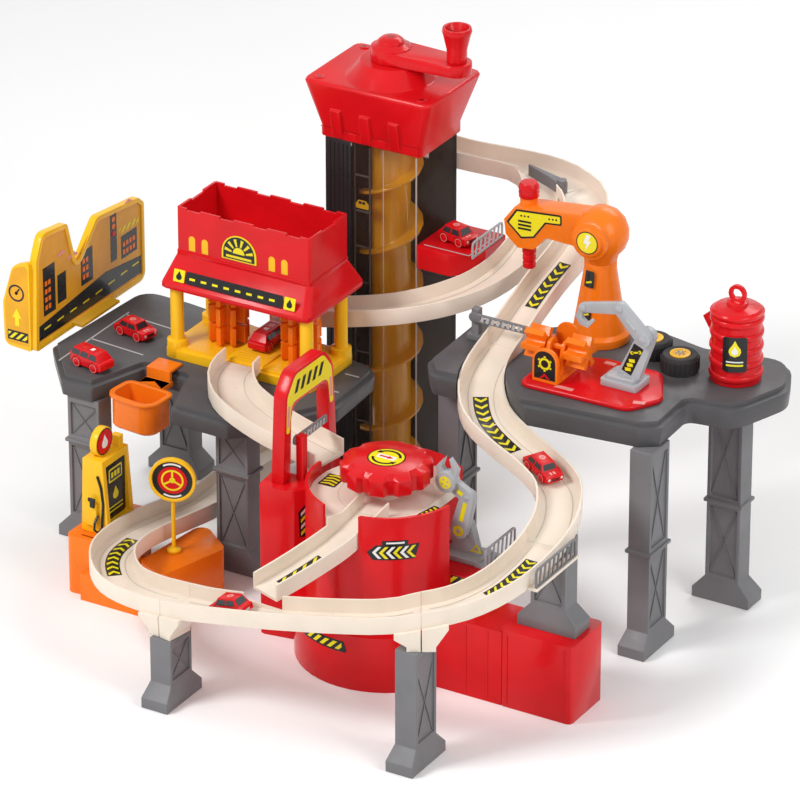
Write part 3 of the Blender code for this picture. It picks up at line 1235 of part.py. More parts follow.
def robot_arm(mats):
    """The swivelling shoulder ball, its arm and the head that holds the drill."""
    x, y, z = ROBOT_X, ROBOT_Y, ROBOT_BALL_HEIGHT
    low = z - ROBOT_BALL_RADIUS - 0.001 + GAP
    ball = [(ROBOT_NECK_RADIUS, low)]
    for step in range(2, 9):
        turn = -math.pi / 2 + math.pi * step / 9
        ball.append((ROBOT_BALL_RADIUS * math.cos(turn), z + ROBOT_BALL_RADIUS * math.sin(turn)))
    body = turned(ball, x, y, 24)
    head = x - DRILL_REACH
    half = ROBOT_ARM_HALF
    outline = [(x, z - 0.016), (x, z + 0.022), (head - 0.010, z + 0.012), (head - 0.022, z - 0.004),
               (head - 0.020, z - 0.020), (head - 0.006, z - 0.032), (head + 0.012, z - 0.030),
               (head + 0.026, z - 0.014)]
    unite(body, slab(outline, y - half, y + half, "Y"))
    unite(body, slab(circle(x, z, ROBOT_DISC_RADIUS, 24), y - ROBOT_DISC_REACH, y - 0.010, "Y"))
    unite(body, turned([(0.009, z + 0.008), (0.009, z + 0.020), (0.010, z + 0.021), (0.010, z + 0.033),
                        (0.007, z + 0.036)], head - 0.001, y, 16))
    cut(body, turned([(DRILL_PIN + GAP, z - 0.04), (DRILL_PIN + GAP, z - 0.008)], head, y, 12))
    cut(body, turned([(0.0065, low - 0.001), (0.0065, low + 0.012)], x, y, 12))
    return finish(body, "robot_arm", mats["orange"], 30, (x, y, z))


def robot_drill(mats):
    head = ROBOT_X - DRILL_REACH
    top = ROBOT_BALL_HEIGHT - 0.032 - GAP
    profile = [(0.0015, top - 0.036), (0.004, top - 0.030), (0.004, top - 0.022), (0.009, top - 0.018),
               (0.0105, top - 0.003), (0.0095, top), (DRILL_PIN, top), (DRILL_PIN, top + 0.020)]
    return finish(turned(profile, head, ROBOT_Y, 16), "robot_drill", mats["red"], 40,
                  (head, ROBOT_Y, top))


def repair_plate(mats):
    low = RIGHT_DECK_TOP + GAP
    top = low + PLATE_THICKNESS
    edge = offset_corners(PLATE_OUTLINE, 0.0015)
    plate = loft([at_height(rounded(PLATE_OUTLINE), low), at_height(rounded(PLATE_OUTLINE), top - 0.0015),
                  at_height(rounded(edge), top)])
    return finish(plate, "repair_plate", mats["red"])


def plate_top():
    return RIGHT_DECK_TOP + PLATE_THICKNESS + GAP * 2


def crane_base(mats):
    low = plate_top()
    joint_x, joint_z = CRANE_JOINT
    y0, y1 = CRANE_Y - 0.004, CRANE_Y + 0.004
    body = prism(rounded(rectangle(CRANE_X - 0.0205, CRANE_X + 0.0205, CRANE_Y - 0.0155, CRANE_Y + 0.0155,
                                   0.003), 2), low, low + 0.007)
    column = rounded([(CRANE_X - 0.010, low + 0.006, 0.001), (CRANE_X + 0.016, low + 0.006, 0.001),
                      (joint_x + 0.011, joint_z + 0.006, 0.008),
                      (joint_x - 0.006, joint_z + 0.010, 0.008)], 3)
    unite(body, slab(column, y0, y1, "Y"))
    cut(body, slab(circle(joint_x, joint_z, PIN_RADIUS + GAP, 12), y0 - 0.01, y1 + 0.01, "Y"))
    return finish(body, "crane_base", mats["silver"], 30)


def crane_arm(mats):
    """The crane's jib with its hook."""
    joint_x, joint_z = CRANE_JOINT
    y1 = CRANE_Y - 0.004 - GAP
    y0 = y1 - 0.008
    arm = slab(bar_outline(CRANE_JOINT, CRANE_ELBOW, 0.008, 0.0065), y0, y1, "Y")
    unite(arm, slab(bar_outline(CRANE_ELBOW, CRANE_TIP, 0.006, 0.0045), y0 + 0.0005, y1 - 0.0005, "Y"))
    unite(arm, slab(circle(joint_x, joint_z, PIN_RADIUS, 12), y1 - 0.001, CRANE_Y + 0.004, "Y"))
    x, z = CRANE_TIP
    hook = [(x - 0.0045, z), (x + 0.001, z - 0.002), (x - 0.001, z - 0.011), (x + 0.004, z - 0.0155),
            (x + 0.009, z - 0.011), (x + 0.012, z - 0.013), (x + 0.006, z - 0.0205), (x - 0.003, z - 0.019),
            (x - 0.008, z - 0.011)]
    unite(arm, slab(hook, y0 + 0.0015, y1 - 0.0015, "Y"))
    return finish(arm, "crane_arm", mats["silver"], 30, (joint_x, CRANE_Y, joint_z))


def oil_barrel(mats):
    """A ribbed barrel with a pouring spout and a ring to lift it by."""
    x, y = BARREL_X, BARREL_Y
    low = RIGHT_DECK_TOP + GAP
    high = low + BARREL_HEIGHT
    profile = [(BARREL_RADIUS - 0.001, low)]
    for number in range(BARREL_RIBS):
        middle = low + BARREL_HEIGHT * (number + 0.5) / BARREL_RIBS
        profile += [(BARREL_RADIUS - 0.0015, middle - 0.003), (BARREL_RADIUS, middle - 0.0015),
                    (BARREL_RADIUS, middle + 0.0015), (BARREL_RADIUS - 0.0015, middle + 0.003)]
    profile += [(BARREL_RADIUS, high - 0.001), (BARREL_RADIUS - 0.004, high + 0.003), (0.011, high + 0.005),
                (0.011, high + 0.009), (0.008, high + 0.010)]
    body = turned(profile, x, y, 22)
    eye = high + 0.017
    ring = slab(circle(x, eye, 0.0095, 20), y - 0.002, y + 0.002, "Y")
    cut(ring, slab(circle(x, eye, 0.0055, 16), y - 0.01, y + 0.01, "Y"))
    unite(body, ring)
    side = x - BARREL_RADIUS
    spout = slab([(side + 0.003, high - 0.034), (side + 0.003, high - 0.018), (side - 0.004, high - 0.010),
                  (side - 0.009, high - 0.014)], y - 0.004, y + 0.004, "Y")
    return finish(unite(body, spout), "oil_barrel", mats["red"], 30)


def turner_stand(mats):
    x, y, z = ROCKER_X, ROCKER_Y, ROCKER_Z
    low = plate_top()
    foot = box((x - 0.014, STAND_Y[0] - 0.003, low), (x + 0.014, y + 0.024, low + 0.004))
    arch = rounded([(x - 0.014, low + 0.003, 0.001), (x + 0.014, low + 0.003, 0.001),
                    (x + 0.014, low + 0.036, 0.013), (x - 0.014, low + 0.036, 0.013)], 4)
    unite(foot, slab(arch, STAND_Y[0] - 0.003, STAND_Y[0] + 0.002, "Y"))
    for side in (-1, 1):
        middle = x + side * 0.008
        cheek = rounded([(y - 0.016, low + 0.003, 0.001), (y + 0.016, low + 0.003, 0.001),
                         (y + 0.006, z + 0.008, 0.006), (y - 0.006, z + 0.008, 0.006)], 3)
        unite(foot, slab(cheek, middle - 0.002, middle + 0.002, "X"))
    cut(foot, slab(circle(y, z, PIN_RADIUS + GAP, 12), x - 0.012, x + 0.012, "X"))
    return finish(foot, "turner_stand", mats["orange"], 30)


def turner_drum(mats):
    """The double paddle drum that turns a car over; it runs in the stand's two cheeks."""
    x, y, z = ROCKER_X, ROCKER_Y, ROCKER_Z
    drum = slab(circle(y, z, PIN_RADIUS, 12), x - 0.014, x + 0.014, "X")
    for side in (-1, 1):
        near, far = x + side * 0.0125, x + side * ROCKER_LENGTH / 2
        unite(drum, slab(star(y, z, 0.007, 0.017, 6, 0.5), min(near, far), max(near, far), "X"))
    return finish(drum, "turner_drum", mats["orange"], 30, (x, y, z))


# Cars

def car(name, place, heading, slope, style, mats):
    """A small car on four wheels; heading is its direction of travel in degrees from +X."""
    x, y, z = place
    length, roof_start, roof_end, hood, height = style
    half = length / 2
    low = WHEEL_RADIUS * 0.6
    side = [(-half, low + 0.002), (-half + 0.002, low), (half - 0.002, low), (half, low + 0.002),
            (half, low + hood * 0.8), (half - 0.002, low + hood), (roof_end + 0.003, low + hood),
            (roof_end - 0.002, height), (roof_start + 0.003, height), (roof_start - 0.002, low + hood),
            (-half + 0.001, low + hood * 0.9)]
    wide = CAR_WIDTH / 2 - WHEEL_WIDTH * 0.4
    body = slab(side, -wide, wide, "Y")
    roof_cut = CAR_WIDTH
    for hand in (-1, 1):
        lean = loft([[(-half - 0.01, hand * wide * 1.01, low + hood),
                      (half + 0.01, hand * wide * 1.01, low + hood),
                      (half + 0.01, hand * roof_cut, low + hood),
                      (-half - 0.01, hand * roof_cut, low + hood)],
                     [(-half - 0.01, hand * (wide - 0.003), height + 0.001),
                      (half + 0.01, hand * (wide - 0.003), height + 0.001),
                      (half + 0.01, hand * roof_cut, height + 0.001),
                      (-half - 0.01, hand * roof_cut, height + 0.001)]])
        cut(body, lean)
    for along in (-half + 0.010, half - 0.010):
        wheels = slab(circle(along, WHEEL_RADIUS, WHEEL_RADIUS, 12), -CAR_WIDTH / 2, CAR_WIDTH / 2, "Y")
        unite(body, wheels)
    turn = Matrix.Rotation(math.radians(heading), 4, "Z") @ Matrix.Rotation(-math.atan(slope), 4, "Y")
    body.data.transform(Matrix.Translation((x, y, z)) @ turn)
    return finish(body, name, mats["red"], 30, place)


def car_on(name, route, spot, style, mats):
    """A car standing on a track's floor at its station nearest to a place."""
    place, heading, _ = min(stations(route, step=0.004), key=lambda s: (s[0].xy - Vector(spot)).length)
    lift = place + Vector((0, 0, CAR_LIFT))
    angle = math.degrees(math.atan2(heading.y, heading.x))
    return car(name, tuple(lift), angle, heading.z, style, mats)


def build():
    clear_scene()
    mats = make_materials()
    tower_shell(mats)
    tower_window(mats)
    spiral_lift(mats)
    tower_head(mats)
    crank_arm(mats)
    crank_knob(mats)
    parking_shelf(mats)
    upper_track(mats)
    diverter(mats)
    slide_upper(mats)
    slide_s_curve(mats)
    slide_right(mats)
    slide_front(mats)
    slide_left(mats)
    wash_track(mats)
    wash_slide(mats)
    front_leg("front_leg_right", FRONT_RUN[0], mats)
    front_leg("front_leg_left", FRONT_RUN[1], mats)
    slide_leg(mats)
    gate_post(mats)
    gate_arm(mats)
    wash_base(mats)
    wash_house(mats)
    wash_brush("brush_left", -1, mats)
    wash_brush("brush_right", 1, mats)
    left_platform(mats)
    left_leg("left_leg_front", LEFT_LEG_FRONT, "X", mats)
    left_leg("left_leg_inner", LEFT_LEG_INNER, "X", mats)
    left_leg("left_leg_rear", LEFT_LEG_REAR, "X", mats)
    tray(mats)
    billboard(mats)
    gas_base(mats)
    gas_pump(mats)
    road_sign(mats)
    station_base(mats)
    station_deck(mats)
    gear_knob(mats)
    station_arch(mats)
    entry_gate_arm(mats)
    grabber_base(mats)
    grabber_arm(mats)
    right_platform(mats)
    right_leg("right_leg_near", RIGHT_LEG_NEAR, "Y", mats)
    right_leg("right_leg_far", RIGHT_LEG_FAR, "X", mats)
    right_leg("right_leg_inner", RIGHT_LEG_INNER, "Y", mats)
    robot_base(mats)
    robot_arm(mats)
    robot_drill(mats)
    repair_plate(mats)
    crane_base(mats)
    crane_arm(mats)
    oil_barrel(mats)
    turner_stand(mats)
    turner_drum(mats)
    car("van", VAN_PLACE, VAN_HEADING, 0.0, VAN_STYLE, mats)
    car("coupe_parked", COUPE_PLACE, VAN_HEADING, 0.0, COUPE_STYLE, mats)
    car("bus", BUS_PLACE, -90.0, 0.0, VAN_STYLE, mats)
    car("beetle_shelf", SHELF_CAR_PLACE, SHELF_CAR_HEADING, 0.0, BEETLE_STYLE, mats)
    car_on("coupe_rolling", MAIN_LINE, (0.335, -0.273), COUPE_STYLE, mats)
    car_on("beetle_rolling", MAIN_LINE, (0.130, -0.523), BEETLE_STYLE, mats)


build()
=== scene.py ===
"""The looks of the toy parking garage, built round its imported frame. Metres, +Z up, as in the part."""
import json
import math

import bmesh
import bpy
from mathutils import Matrix, Vector


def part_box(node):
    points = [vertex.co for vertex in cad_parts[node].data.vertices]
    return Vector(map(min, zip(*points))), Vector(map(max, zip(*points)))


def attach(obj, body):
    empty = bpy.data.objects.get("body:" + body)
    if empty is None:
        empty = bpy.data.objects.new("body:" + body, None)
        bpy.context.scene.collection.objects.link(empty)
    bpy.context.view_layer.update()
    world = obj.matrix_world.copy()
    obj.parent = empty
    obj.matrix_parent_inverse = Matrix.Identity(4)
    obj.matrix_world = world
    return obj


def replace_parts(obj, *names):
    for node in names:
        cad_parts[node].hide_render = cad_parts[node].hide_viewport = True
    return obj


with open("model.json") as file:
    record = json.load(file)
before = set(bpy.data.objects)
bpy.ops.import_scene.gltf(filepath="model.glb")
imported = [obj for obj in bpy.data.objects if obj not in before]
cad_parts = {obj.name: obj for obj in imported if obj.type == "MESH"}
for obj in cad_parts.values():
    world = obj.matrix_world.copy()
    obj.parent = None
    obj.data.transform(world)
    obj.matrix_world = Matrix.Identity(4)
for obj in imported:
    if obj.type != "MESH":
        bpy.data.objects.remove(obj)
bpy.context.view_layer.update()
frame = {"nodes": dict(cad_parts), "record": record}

BODIES = frame["record"]["behaviour"]["bodies"]
BODY_OF = {node: body for body, nodes in BODIES.items() for node in nodes}
SLOT_OF = {row["node"]: row["material_slot"] for row in frame["record"]["subparts"]}
ROOT = "garage"

# Shapes are written in millimetres and made in metres
MM = 0.001
# How far each layer of a print stands off the one below
LIFT = 0.15
# The upright axes of the drum and of the robot
DRUM = (192, -334)
ROBOT = (279, -62)


# Shader helpers

def new_material(name):
    made = bpy.data.materials.new(name)
    made.use_nodes = True
    nodes = made.node_tree.nodes
    return made, nodes, made.node_tree.links, nodes["Principled BSDF"]


def add_noise(nodes, links, scale, detail):
    place = nodes.new("ShaderNodeTexCoord")
    noise = nodes.new("ShaderNodeTexNoise")
    noise.inputs["Scale"].default_value = scale
    noise.inputs["Detail"].default_value = detail
    links.new(place.outputs["Object"], noise.inputs["Vector"])
    return noise.outputs["Fac"]


def colour_ramp(nodes, links, factor, stops):
    ramp = nodes.new("ShaderNodeValToRGB")
    ramp.color_ramp.elements[0].position = stops[0][0]
    ramp.color_ramp.elements[0].color = (*stops[0][1], 1.0)
    ramp.color_ramp.elements[1].position = stops[-1][0]
    ramp.color_ramp.elements[1].color = (*stops[-1][1], 1.0)
    for position, colour in stops[1:-1]:
        ramp.color_ramp.elements.new(position).color = (*colour, 1.0)
    links.new(factor, ramp.inputs["Fac"])
    return ramp.outputs["Color"]


def spread(nodes, links, factor, low, high):
    """Maps a noise's middle range onto low to high."""
    node = nodes.new("ShaderNodeMapRange")
    node.inputs["From Min"].default_value = 0.3
    node.inputs["From Max"].default_value = 0.7
    node.inputs["To Min"].default_value = low
    node.inputs["To Max"].default_value = high
    links.new(factor, node.inputs["Value"])
    return node.outputs["Result"]


def scaled(colour, factor):
    return tuple(min(channel * factor, 1.0) for channel in colour)


def bump(nodes, links, height, strength, distance):
    node = nodes.new("ShaderNodeBump")
    node.inputs["Strength"].default_value = strength
    node.inputs["Distance"].default_value = distance
    links.new(height, node.inputs["Height"])
    return node


def moulding(nodes, links, shader, colour, roughness, grain, mottle):
    """Moulded plastic: faint flow marks in the colour, uneven gloss, a fine grain and slight waviness."""
    flow = add_noise(nodes, links, 26.0, 2.0)
    tones = [(0.3, scaled(colour, 1 - mottle)), (0.7, scaled(colour, 1 + mottle))]
    links.new(colour_ramp(nodes, links, flow, tones), shader.inputs["Base Color"])
    uneven = add_noise(nodes, links, 70.0, 4.0)
    links.new(spread(nodes, links, uneven, roughness * 0.85, roughness * 1.2), shader.inputs["Roughness"])
    fine = add_noise(nodes, links, 1800.0, 2.0)
    wave = add_noise(nodes, links, 60.0, 1.0)
    first = bump(nodes, links, fine, grain, 0.0003)
    second = bump(nodes, links, wave, 0.06, 0.0012)
    links.new(first.outputs["Normal"], second.inputs["Normal"])
    links.new(second.outputs["Normal"], shader.inputs["Normal"])


def plastic(name, colour, roughness=0.25, grain=0.05, mottle=0.05, coat=0.0, subsurface=0.0):
    made, nodes, links, shader = new_material(name)
    moulding(nodes, links, shader, colour, roughness, grain, mottle)
    shader.inputs["Specular IOR Level"].default_value = 0.20
    shader.inputs["Coat Weight"].default_value = coat
    shader.inputs["Coat Roughness"].default_value = 0.08
    if subsurface:
        shader.inputs["Subsurface Weight"].default_value = subsurface
        shader.inputs["Subsurface Radius"].default_value = (0.006, 0.003, 0.0015)
        shader.inputs["Subsurface Scale"].default_value = 0.5
    return made


def clear_plastic(name, colour, roughness, alpha):
    """See-through plastic sheet: tinted, glossy, with a trace of haze."""
    made, nodes, links, shader = new_material(name)
    moulding(nodes, links, shader, colour, roughness, 0.02, 0.08)
    haze = add_noise(nodes, links, 18.0, 2.0)
    links.new(spread(nodes, links, haze, alpha * 0.9, alpha * 1.15), shader.inputs["Alpha"])
    shader.inputs["Specular IOR Level"].default_value = 0.3
    shader.inputs["Coat Weight"].default_value = 0.2
    shader.inputs["Coat Roughness"].default_value = 0.05
    return made


def amber_plastic(name, colour):
    """The translucent amber of the screw, which glows where it is thin, with a faint painted glow from an
    emission all over it.
    """
    made, nodes, links, shader = new_material(name)
    moulding(nodes, links, shader, colour, 0.12, 0.02, 0.15)
    shader.inputs["Transmission Weight"].default_value = 0.25
    shader.inputs["Subsurface Weight"].default_value = 0.5
    shader.inputs["Subsurface Radius"].default_value = (0.02, 0.009, 0.002)
    shader.inputs["Coat Weight"].default_value = 0.5
    # painted glow: a faint emission in the amber's own colour lights the whole screw evenly
    shader.inputs["Emission Color"].default_value = (*colour, 1.0)
    shader.inputs["Emission Strength"].default_value = 0.04
    return made


RED = (0.64, 0.006, 0.010)
DEEP_RED = (0.30, 0.004, 0.008)
CREAM = (0.80, 0.70, 0.59)
YELLOW = (0.90, 0.50, 0.012)
LEMON = (0.82, 0.70, 0.012)
ORANGE = (0.88, 0.19, 0.008)
DECK = (0.088, 0.085, 0.089)
LEG = (0.178, 0.175, 0.182)
SILVER = (0.40, 0.41, 0.43)
BLACK = (0.012, 0.012, 0.013)
WHITE = (0.82, 0.81, 0.79)

MATERIALS = {
    "red_plastic": plastic("red_gloss", RED, 0.22, 0.03, 0.06, 0.08),
    "deep_red": plastic("deep_red_gloss", DEEP_RED, 0.25, 0.03, 0.06, 0.3),
    "pink": plastic("pink_print", (0.75, 0.30, 0.27), 0.30, 0.03, 0.06, 0.2),
    "dark_plastic": plastic("dark_satin", (0.022, 0.020, 0.021), 0.30, 0.10, 0.10),
    "deck_plastic": plastic("deck_satin", DECK, 0.38, 0.22, 0.08),
    "grey_plastic": plastic("leg_satin", LEG, 0.36, 0.20, 0.07),
    "silver_plastic": plastic("silver_satin", SILVER, 0.30, 0.12, 0.05, 0.2),
    "pale_grey": plastic("pale_grey_print", (0.45, 0.45, 0.45), 0.34, 0.08, 0.06, 0.1),
    "cream_plastic": plastic("cream_satin", CREAM, 0.32, 0.06, 0.03, 0.15, 0.10),
    # darker cream: painted shade in the lane grooves and in the seam round the drum's deck
    "groove": plastic("cream_groove_shade", (0.62, 0.52, 0.42), 0.40, 0.06, 0.05),
    "yellow_plastic": plastic("yellow_gloss", YELLOW, 0.24, 0.04, 0.05, 0.12),
    "lemon": plastic("lemon_print", LEMON, 0.30, 0.04, 0.05, 0.2),
    "amber_print": plastic("amber_print", (0.74, 0.35, 0.010), 0.34, 0.05, 0.10, 0.2),
    "orange_plastic": plastic("orange_gloss", ORANGE, 0.26, 0.04, 0.05, 0.10),
    "clear_plastic": clear_plastic("smoked_window", (0.10, 0.07, 0.055), 0.07, 0.13),
    # pale, denser tint: a painted highlight along the edges of the clear panels
    "clear_rim_highlight": clear_plastic("window_edge_highlight", (0.62, 0.55, 0.48), 0.12, 0.55),
    "amber_plastic": amber_plastic("amber_screw_painted_glow", (0.92, 0.42, 0.015)),
    "black": plastic("black_gloss", BLACK, 0.25, 0.04, 0.2, 0.3),
    "white": plastic("white_gloss", WHITE, 0.28, 0.03, 0.03, 0.3),
    "glass_dark": plastic("car_glass", (0.03, 0.032, 0.036), 0.10, 0.01, 0.1, 0.8),
    "tyre": plastic("tyre_rubber", (0.035, 0.034, 0.035), 0.6, 0.5, 0.15),
}


# Mesh helpers, all in millimetres

def link_mesh(builder, name):
    bmesh.ops.recalc_face_normals(builder, faces=builder.faces)
    mesh = bpy.data.meshes.new(name)
    builder.to_mesh(mesh)
    builder.free()
    made = bpy.data.objects.new(name, mesh)
    bpy.context.scene.collection.objects.link(made)
    return made


def soften(piece, width, segments=2, angle=32):
    """Rounds a piece's edges and shades it smooth."""
    piece.data.shade_smooth()
    if width:
        bevel = piece.modifiers.new("edges", "BEVEL")
        bevel.width = width * MM
        bevel.segments = segments
        bevel.limit_method = "ANGLE"
        bevel.angle_limit = math.radians(angle)
        bevel.harden_normals = True
    else:
        piece.data.set_sharp_from_angle(angle=math.radians(angle))
    return piece


def place(piece, body, material, slot=None):
    """Gives a piece its finish and lets it ride on a body."""
    piece.data.materials.clear()
    piece.data.materials.append(MATERIALS[material])
    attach(piece, body)
    return piece


def dressed(node, width=0.6, segments=2):
    """A copy of a CAD node with rounded edges, which stands for it, less the fence that it may carry."""
    builder = bmesh.new()
    builder.from_mesh(frame["nodes"][node].data)
    if node in FENCES:
        _, x, start, end, foot, height, _ = FENCES[node]
        low, high = (x - 0.3, start - 1, foot + 0.1), (x + 2.3, end + 1, foot + height + 1)
        inside = [face for face in builder.faces
                  if all(low[i] * MM < face.calc_center_median()[i] < high[i] * MM for i in range(3))]
        bmesh.ops.delete(builder, geom=inside, context="FACES")
    bmesh.ops.remove_doubles(builder, verts=builder.verts, dist=0.000004)
    bmesh.ops.dissolve_limit(builder, angle_limit=math.radians(1.5), verts=builder.verts, edges=builder.edges)
    piece = soften(link_mesh(builder, node + "_look"), width, segments)
    material = "silver_plastic" if node == "grabber_base" else SLOT_OF[node]
    place(piece, BODY_OF[node], material, SLOT_OF[node])
    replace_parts(piece, node)


def loft(sections, name="piece"):
    builder = bmesh.new()
    rings = [[builder.verts.new(Vector(point) * MM) for point in section] for section in sections]
    count = len(rings[0])
    builder.faces.new(rings[0])
    builder.faces.new(rings[-1])
    for lower, upper in zip(rings, rings[1:]):
        for index in range(count):
            following = (index + 1) % count
            builder.faces.new((lower[index], lower[following], upper[following], upper[index]))
    return link_mesh(builder, name)


def joined(pieces, name):
    """One object out of several that share a body and a finish."""
    builder = bmesh.new()
    for piece in pieces:
        builder.from_mesh(piece.data)
        bpy.data.objects.remove(piece)
    return link_mesh(builder, name)


def detail(name, pieces, material, width=0.3, body=ROOT, angle=32):
    """Moulded details with softened edges, as one object."""
    return place(soften(joined(pieces, name), width, 2, angle), body, material)


def box_of(node):
    """The corners of a node's box."""
    return [[value / MM for value in corner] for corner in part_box(node)]


# Outlines

def polar(radius, degrees, x=0, y=0):
    turn = math.radians(degrees)
    return x + radius * math.cos(turn), y + radius * math.sin(turn)


def circle(radius, sides=24, x=0, y=0):
    return [polar(radius, 360 * index / sides, x, y) for index in range(sides)]


def ring(outer, inner, first=0, sweep=360, steps=24, x=0, y=0):
    """A ring, or a part of one, as four-sided patches."""
    turns = [first + sweep * index / steps for index in range(steps + 1)]
    patches = []
    for start, end in zip(turns, turns[1:]):
        corners = ((outer, start), (outer, end), (inner, end), (inner, start))
        patches.append([polar(radius, turn, x, y) for radius, turn in corners])
    return patches


def rounded(corners, steps=3):
    """An outline with every corner (x, y, radius) turned into an arc."""
    outline = []
    points = [Vector(corner[:2]) for corner in corners]
    for index, corner in enumerate(corners):
        here = points[index]
        back = points[index - 1] - here
        ahead = points[(index + 1) % len(points)] - here
        angle = back.angle(ahead)
        reach = min(corner[2] / math.tan(angle / 2), 0.48 * back.length, 0.48 * ahead.length)
        radius = reach * math.tan(angle / 2)
        towards = (back.normalized() + ahead.normalized()).normalized()
        centre = here + towards * math.hypot(radius, reach)
        start = here + back.normalized() * reach - centre
        end = here + ahead.normalized() * reach - centre
        first = math.atan2(start.y, start.x)
        sweep = (math.atan2(end.y, end.x) - first + math.pi) % math.tau - math.pi
        turns = [math.degrees(first + sweep * step / steps) for step in range(steps + 1)]
        outline += [polar(radius, turn, *centre) for turn in turns]
    return outline


def rect(a0, a1, b0, b1, radius=0, steps=3):
    corners = [(a0, b0), (a1, b0), (a1, b1), (a0, b1)]
    return rounded([(a, b, radius) for a, b in corners], steps) if radius else corners


def moved(outline, right=0, up=0, scale=1, turn=0):
    cos, sin = math.cos(turn), math.sin(turn)
    return [(right + scale * (a * cos - b * sin), up + scale * (a * sin + b * cos)) for a, b in outline]


def bar(half_a, half_b, right=0, up=0, turn=0):
    """A centred rectangle, turned and moved."""
    return moved(rect(-half_a, half_a, -half_b, half_b), right, up, 1, turn)


def clipped(corners, a0, a1):
    """A convex outline cut off at both ends of a range of a."""
    for limit, sign in ((a0, 1), (a1, -1)):
        kept = []
        for index, here in enumerate(corners):
            back = corners[index - 1]
            inside, before = (here[0] - limit) * sign > 1e-7, (back[0] - limit) * sign > 1e-7
            if inside != before:
                t = (limit - back[0]) / (here[0] - back[0])
                kept.append((limit, back[1] + t * (here[1] - back[1])))
            if inside:
                kept.append(here)
        corners = kept
        if len(corners) < 3:
            return []
    return corners


def slants(a0, a1, b0, b1, pitch):
    """Slanting stripes that fill half of a rectangle."""
    lean = b1 - b0
    stripes = []
    left = a0 - lean
    while left < a1:
        right = left + pitch * 0.5
        stripes.append(clipped([(left, b0), (right, b0), (right + lean, b1), (left + lean, b1)], a0, a1))
        left += pitch
    return [stripe for stripe in stripes if stripe]


def arrow(length, width):
    """An arrow along +a, centred."""
    half = length / 2
    head, thin, tip = half - width, width * 0.22, width * 0.5
    return [(-half, -thin), (head, -thin), (head, -tip), (half, 0), (head, tip), (head, thin), (-half, thin)]


def arrowheads(count, pitch, half, thick):
    """Arrowheads in a row that point towards -a."""
    tip, tail = -half * 0.75, half * 0.15
    row = []
    for number in range(count):
        a = (number - (count - 1) / 2) * pitch
        row.append([(a + tip, 0), (a + tail, half), (a + tail + thick, half), (a + tip + thick, 0),
                    (a + tail + thick, -half), (a + tail, -half)])
    return row


def drop(size, a=0, b=0):
    right = ((0.35, 0.62), (0.72, 0.1), (0.80, -0.32), (0.58, -0.78))
    left = [(-across, up) for across, up in reversed(right)]
    return moved([(size * across, size * up) for across, up in ((0, 1.3), *right, (0, -1), *left)], a, b)


# Solids

def frame_at(origin, normal, up=(0, 0, 1)):
    """A frame with its third axis along normal and its second as near to up as it can be."""
    w = Vector(normal).normalized()
    u = Vector(up).cross(w).normalized()
    matrix = Matrix((u, w.cross(u), w)).transposed().to_4x4()
    matrix.translation = Vector(origin)
    return matrix


def at(x, y, z):
    return Matrix.Translation((x, y, z))


def front(x, y, z):
    """A frame that faces the front, with +X across."""
    return frame_at((x, y, z), (0, -1, 0))


def side_on(x, y, z):
    """A frame that faces +X, with +Y across."""
    return frame_at((x, y, z), (1, 0, 0))


def plate(outline, matrix, depth, low=0):
    """An outline in a frame's plane, thickened along its normal."""
    return loft([[matrix @ Vector((a, b, c)) for a, b in outline] for c in (low, low + depth)])


def turned(profile, matrix, sides=32):
    return loft([[matrix @ Vector((a, b, height)) for a, b in circle(max(radius, 0.05), sides)]
                 for radius, height in profile])


def boxes(low, high, step=(0, 0, 0), count=1):
    """A row of boxes, each a step on from the last."""
    row = []
    for number in range(count):
        shift = Vector(step) * number
        (x0, y0, z0), (x1, y1, z1) = Vector(low) + shift, Vector(high) + shift
        row.append(loft([[(x, y, z) for x, y in rect(x0, x1, y0, y1)] for z in (z0, z1)]))
    return row


def tube(points, radius, sides):
    """A round bar through points."""
    places = [Vector(point) for point in points]
    rings = []
    for index, here in enumerate(places):
        ahead = places[min(index + 1, len(places) - 1)] - places[max(index - 1, 0)]
        side = ahead.cross(Vector((0.13, 0.21, 0.97))).normalized()
        up = side.cross(ahead).normalized()
        rings.append([here + side * a + up * b for a, b in circle(radius, sides)])
    return loft(rings)


def bolts(name, spots, radius, depth, body):
    """Domed heads that face the front, each sunk a little at a place."""
    profile = [(radius, -0.2), (radius, depth * 0.5), (radius * 0.7, depth), (0, depth * 1.05)]
    heads = [turned(profile, frame_at(spot, (0, -1, 0), (0.1, 0.3, 0.95)), 14) for spot in spots]
    detail(name, heads, "silver_plastic", 0, body, 50)


def prints(name, mapping, *layers, body=ROOT, step=None):
    """Printed areas mapped from (across, up, out); each layer is a list of outlines and a finish."""
    where = mapping if callable(mapping) else lambda a, b, c: mapping @ Vector((a, b, c))
    for level, (outlines, material) in enumerate(zip(layers[::2], layers[1::2]), 1):
        flat = bmesh.new()
        for outline in outlines:
            flat.faces.new([flat.verts.new((a, b, 0)) for a, b in outline])
        if step:
            spots = [vert.co.x for vert in flat.verts]
            for number in range(math.ceil(min(spots) / step), math.ceil(max(spots) / step)):
                cut = flat.verts[:] + flat.edges[:] + flat.faces[:]
                bmesh.ops.bisect_plane(flat, geom=cut, dist=0.000001, plane_co=(number * step, 0, 0),
                                       plane_no=(1, 0, 0))
        solid = bmesh.new()
        low, high = ({vert: solid.verts.new(where(vert.co.x, vert.co.y, out) * MM) for vert in flat.verts}
                     for out in (-0.08, LIFT * level))
        for face in flat.faces:
            solid.faces.new([high[vert] for vert in face.verts])
            solid.faces.new([low[vert] for vert in reversed(face.verts)])
        for edge in flat.edges:
            if len(edge.link_faces) == 1:
                start, end = edge.verts
                solid.faces.new((low[start], low[end], high[end], high[start]))
        flat.free()
        place(link_mesh(solid, f"{name}_{level}"), body, material)


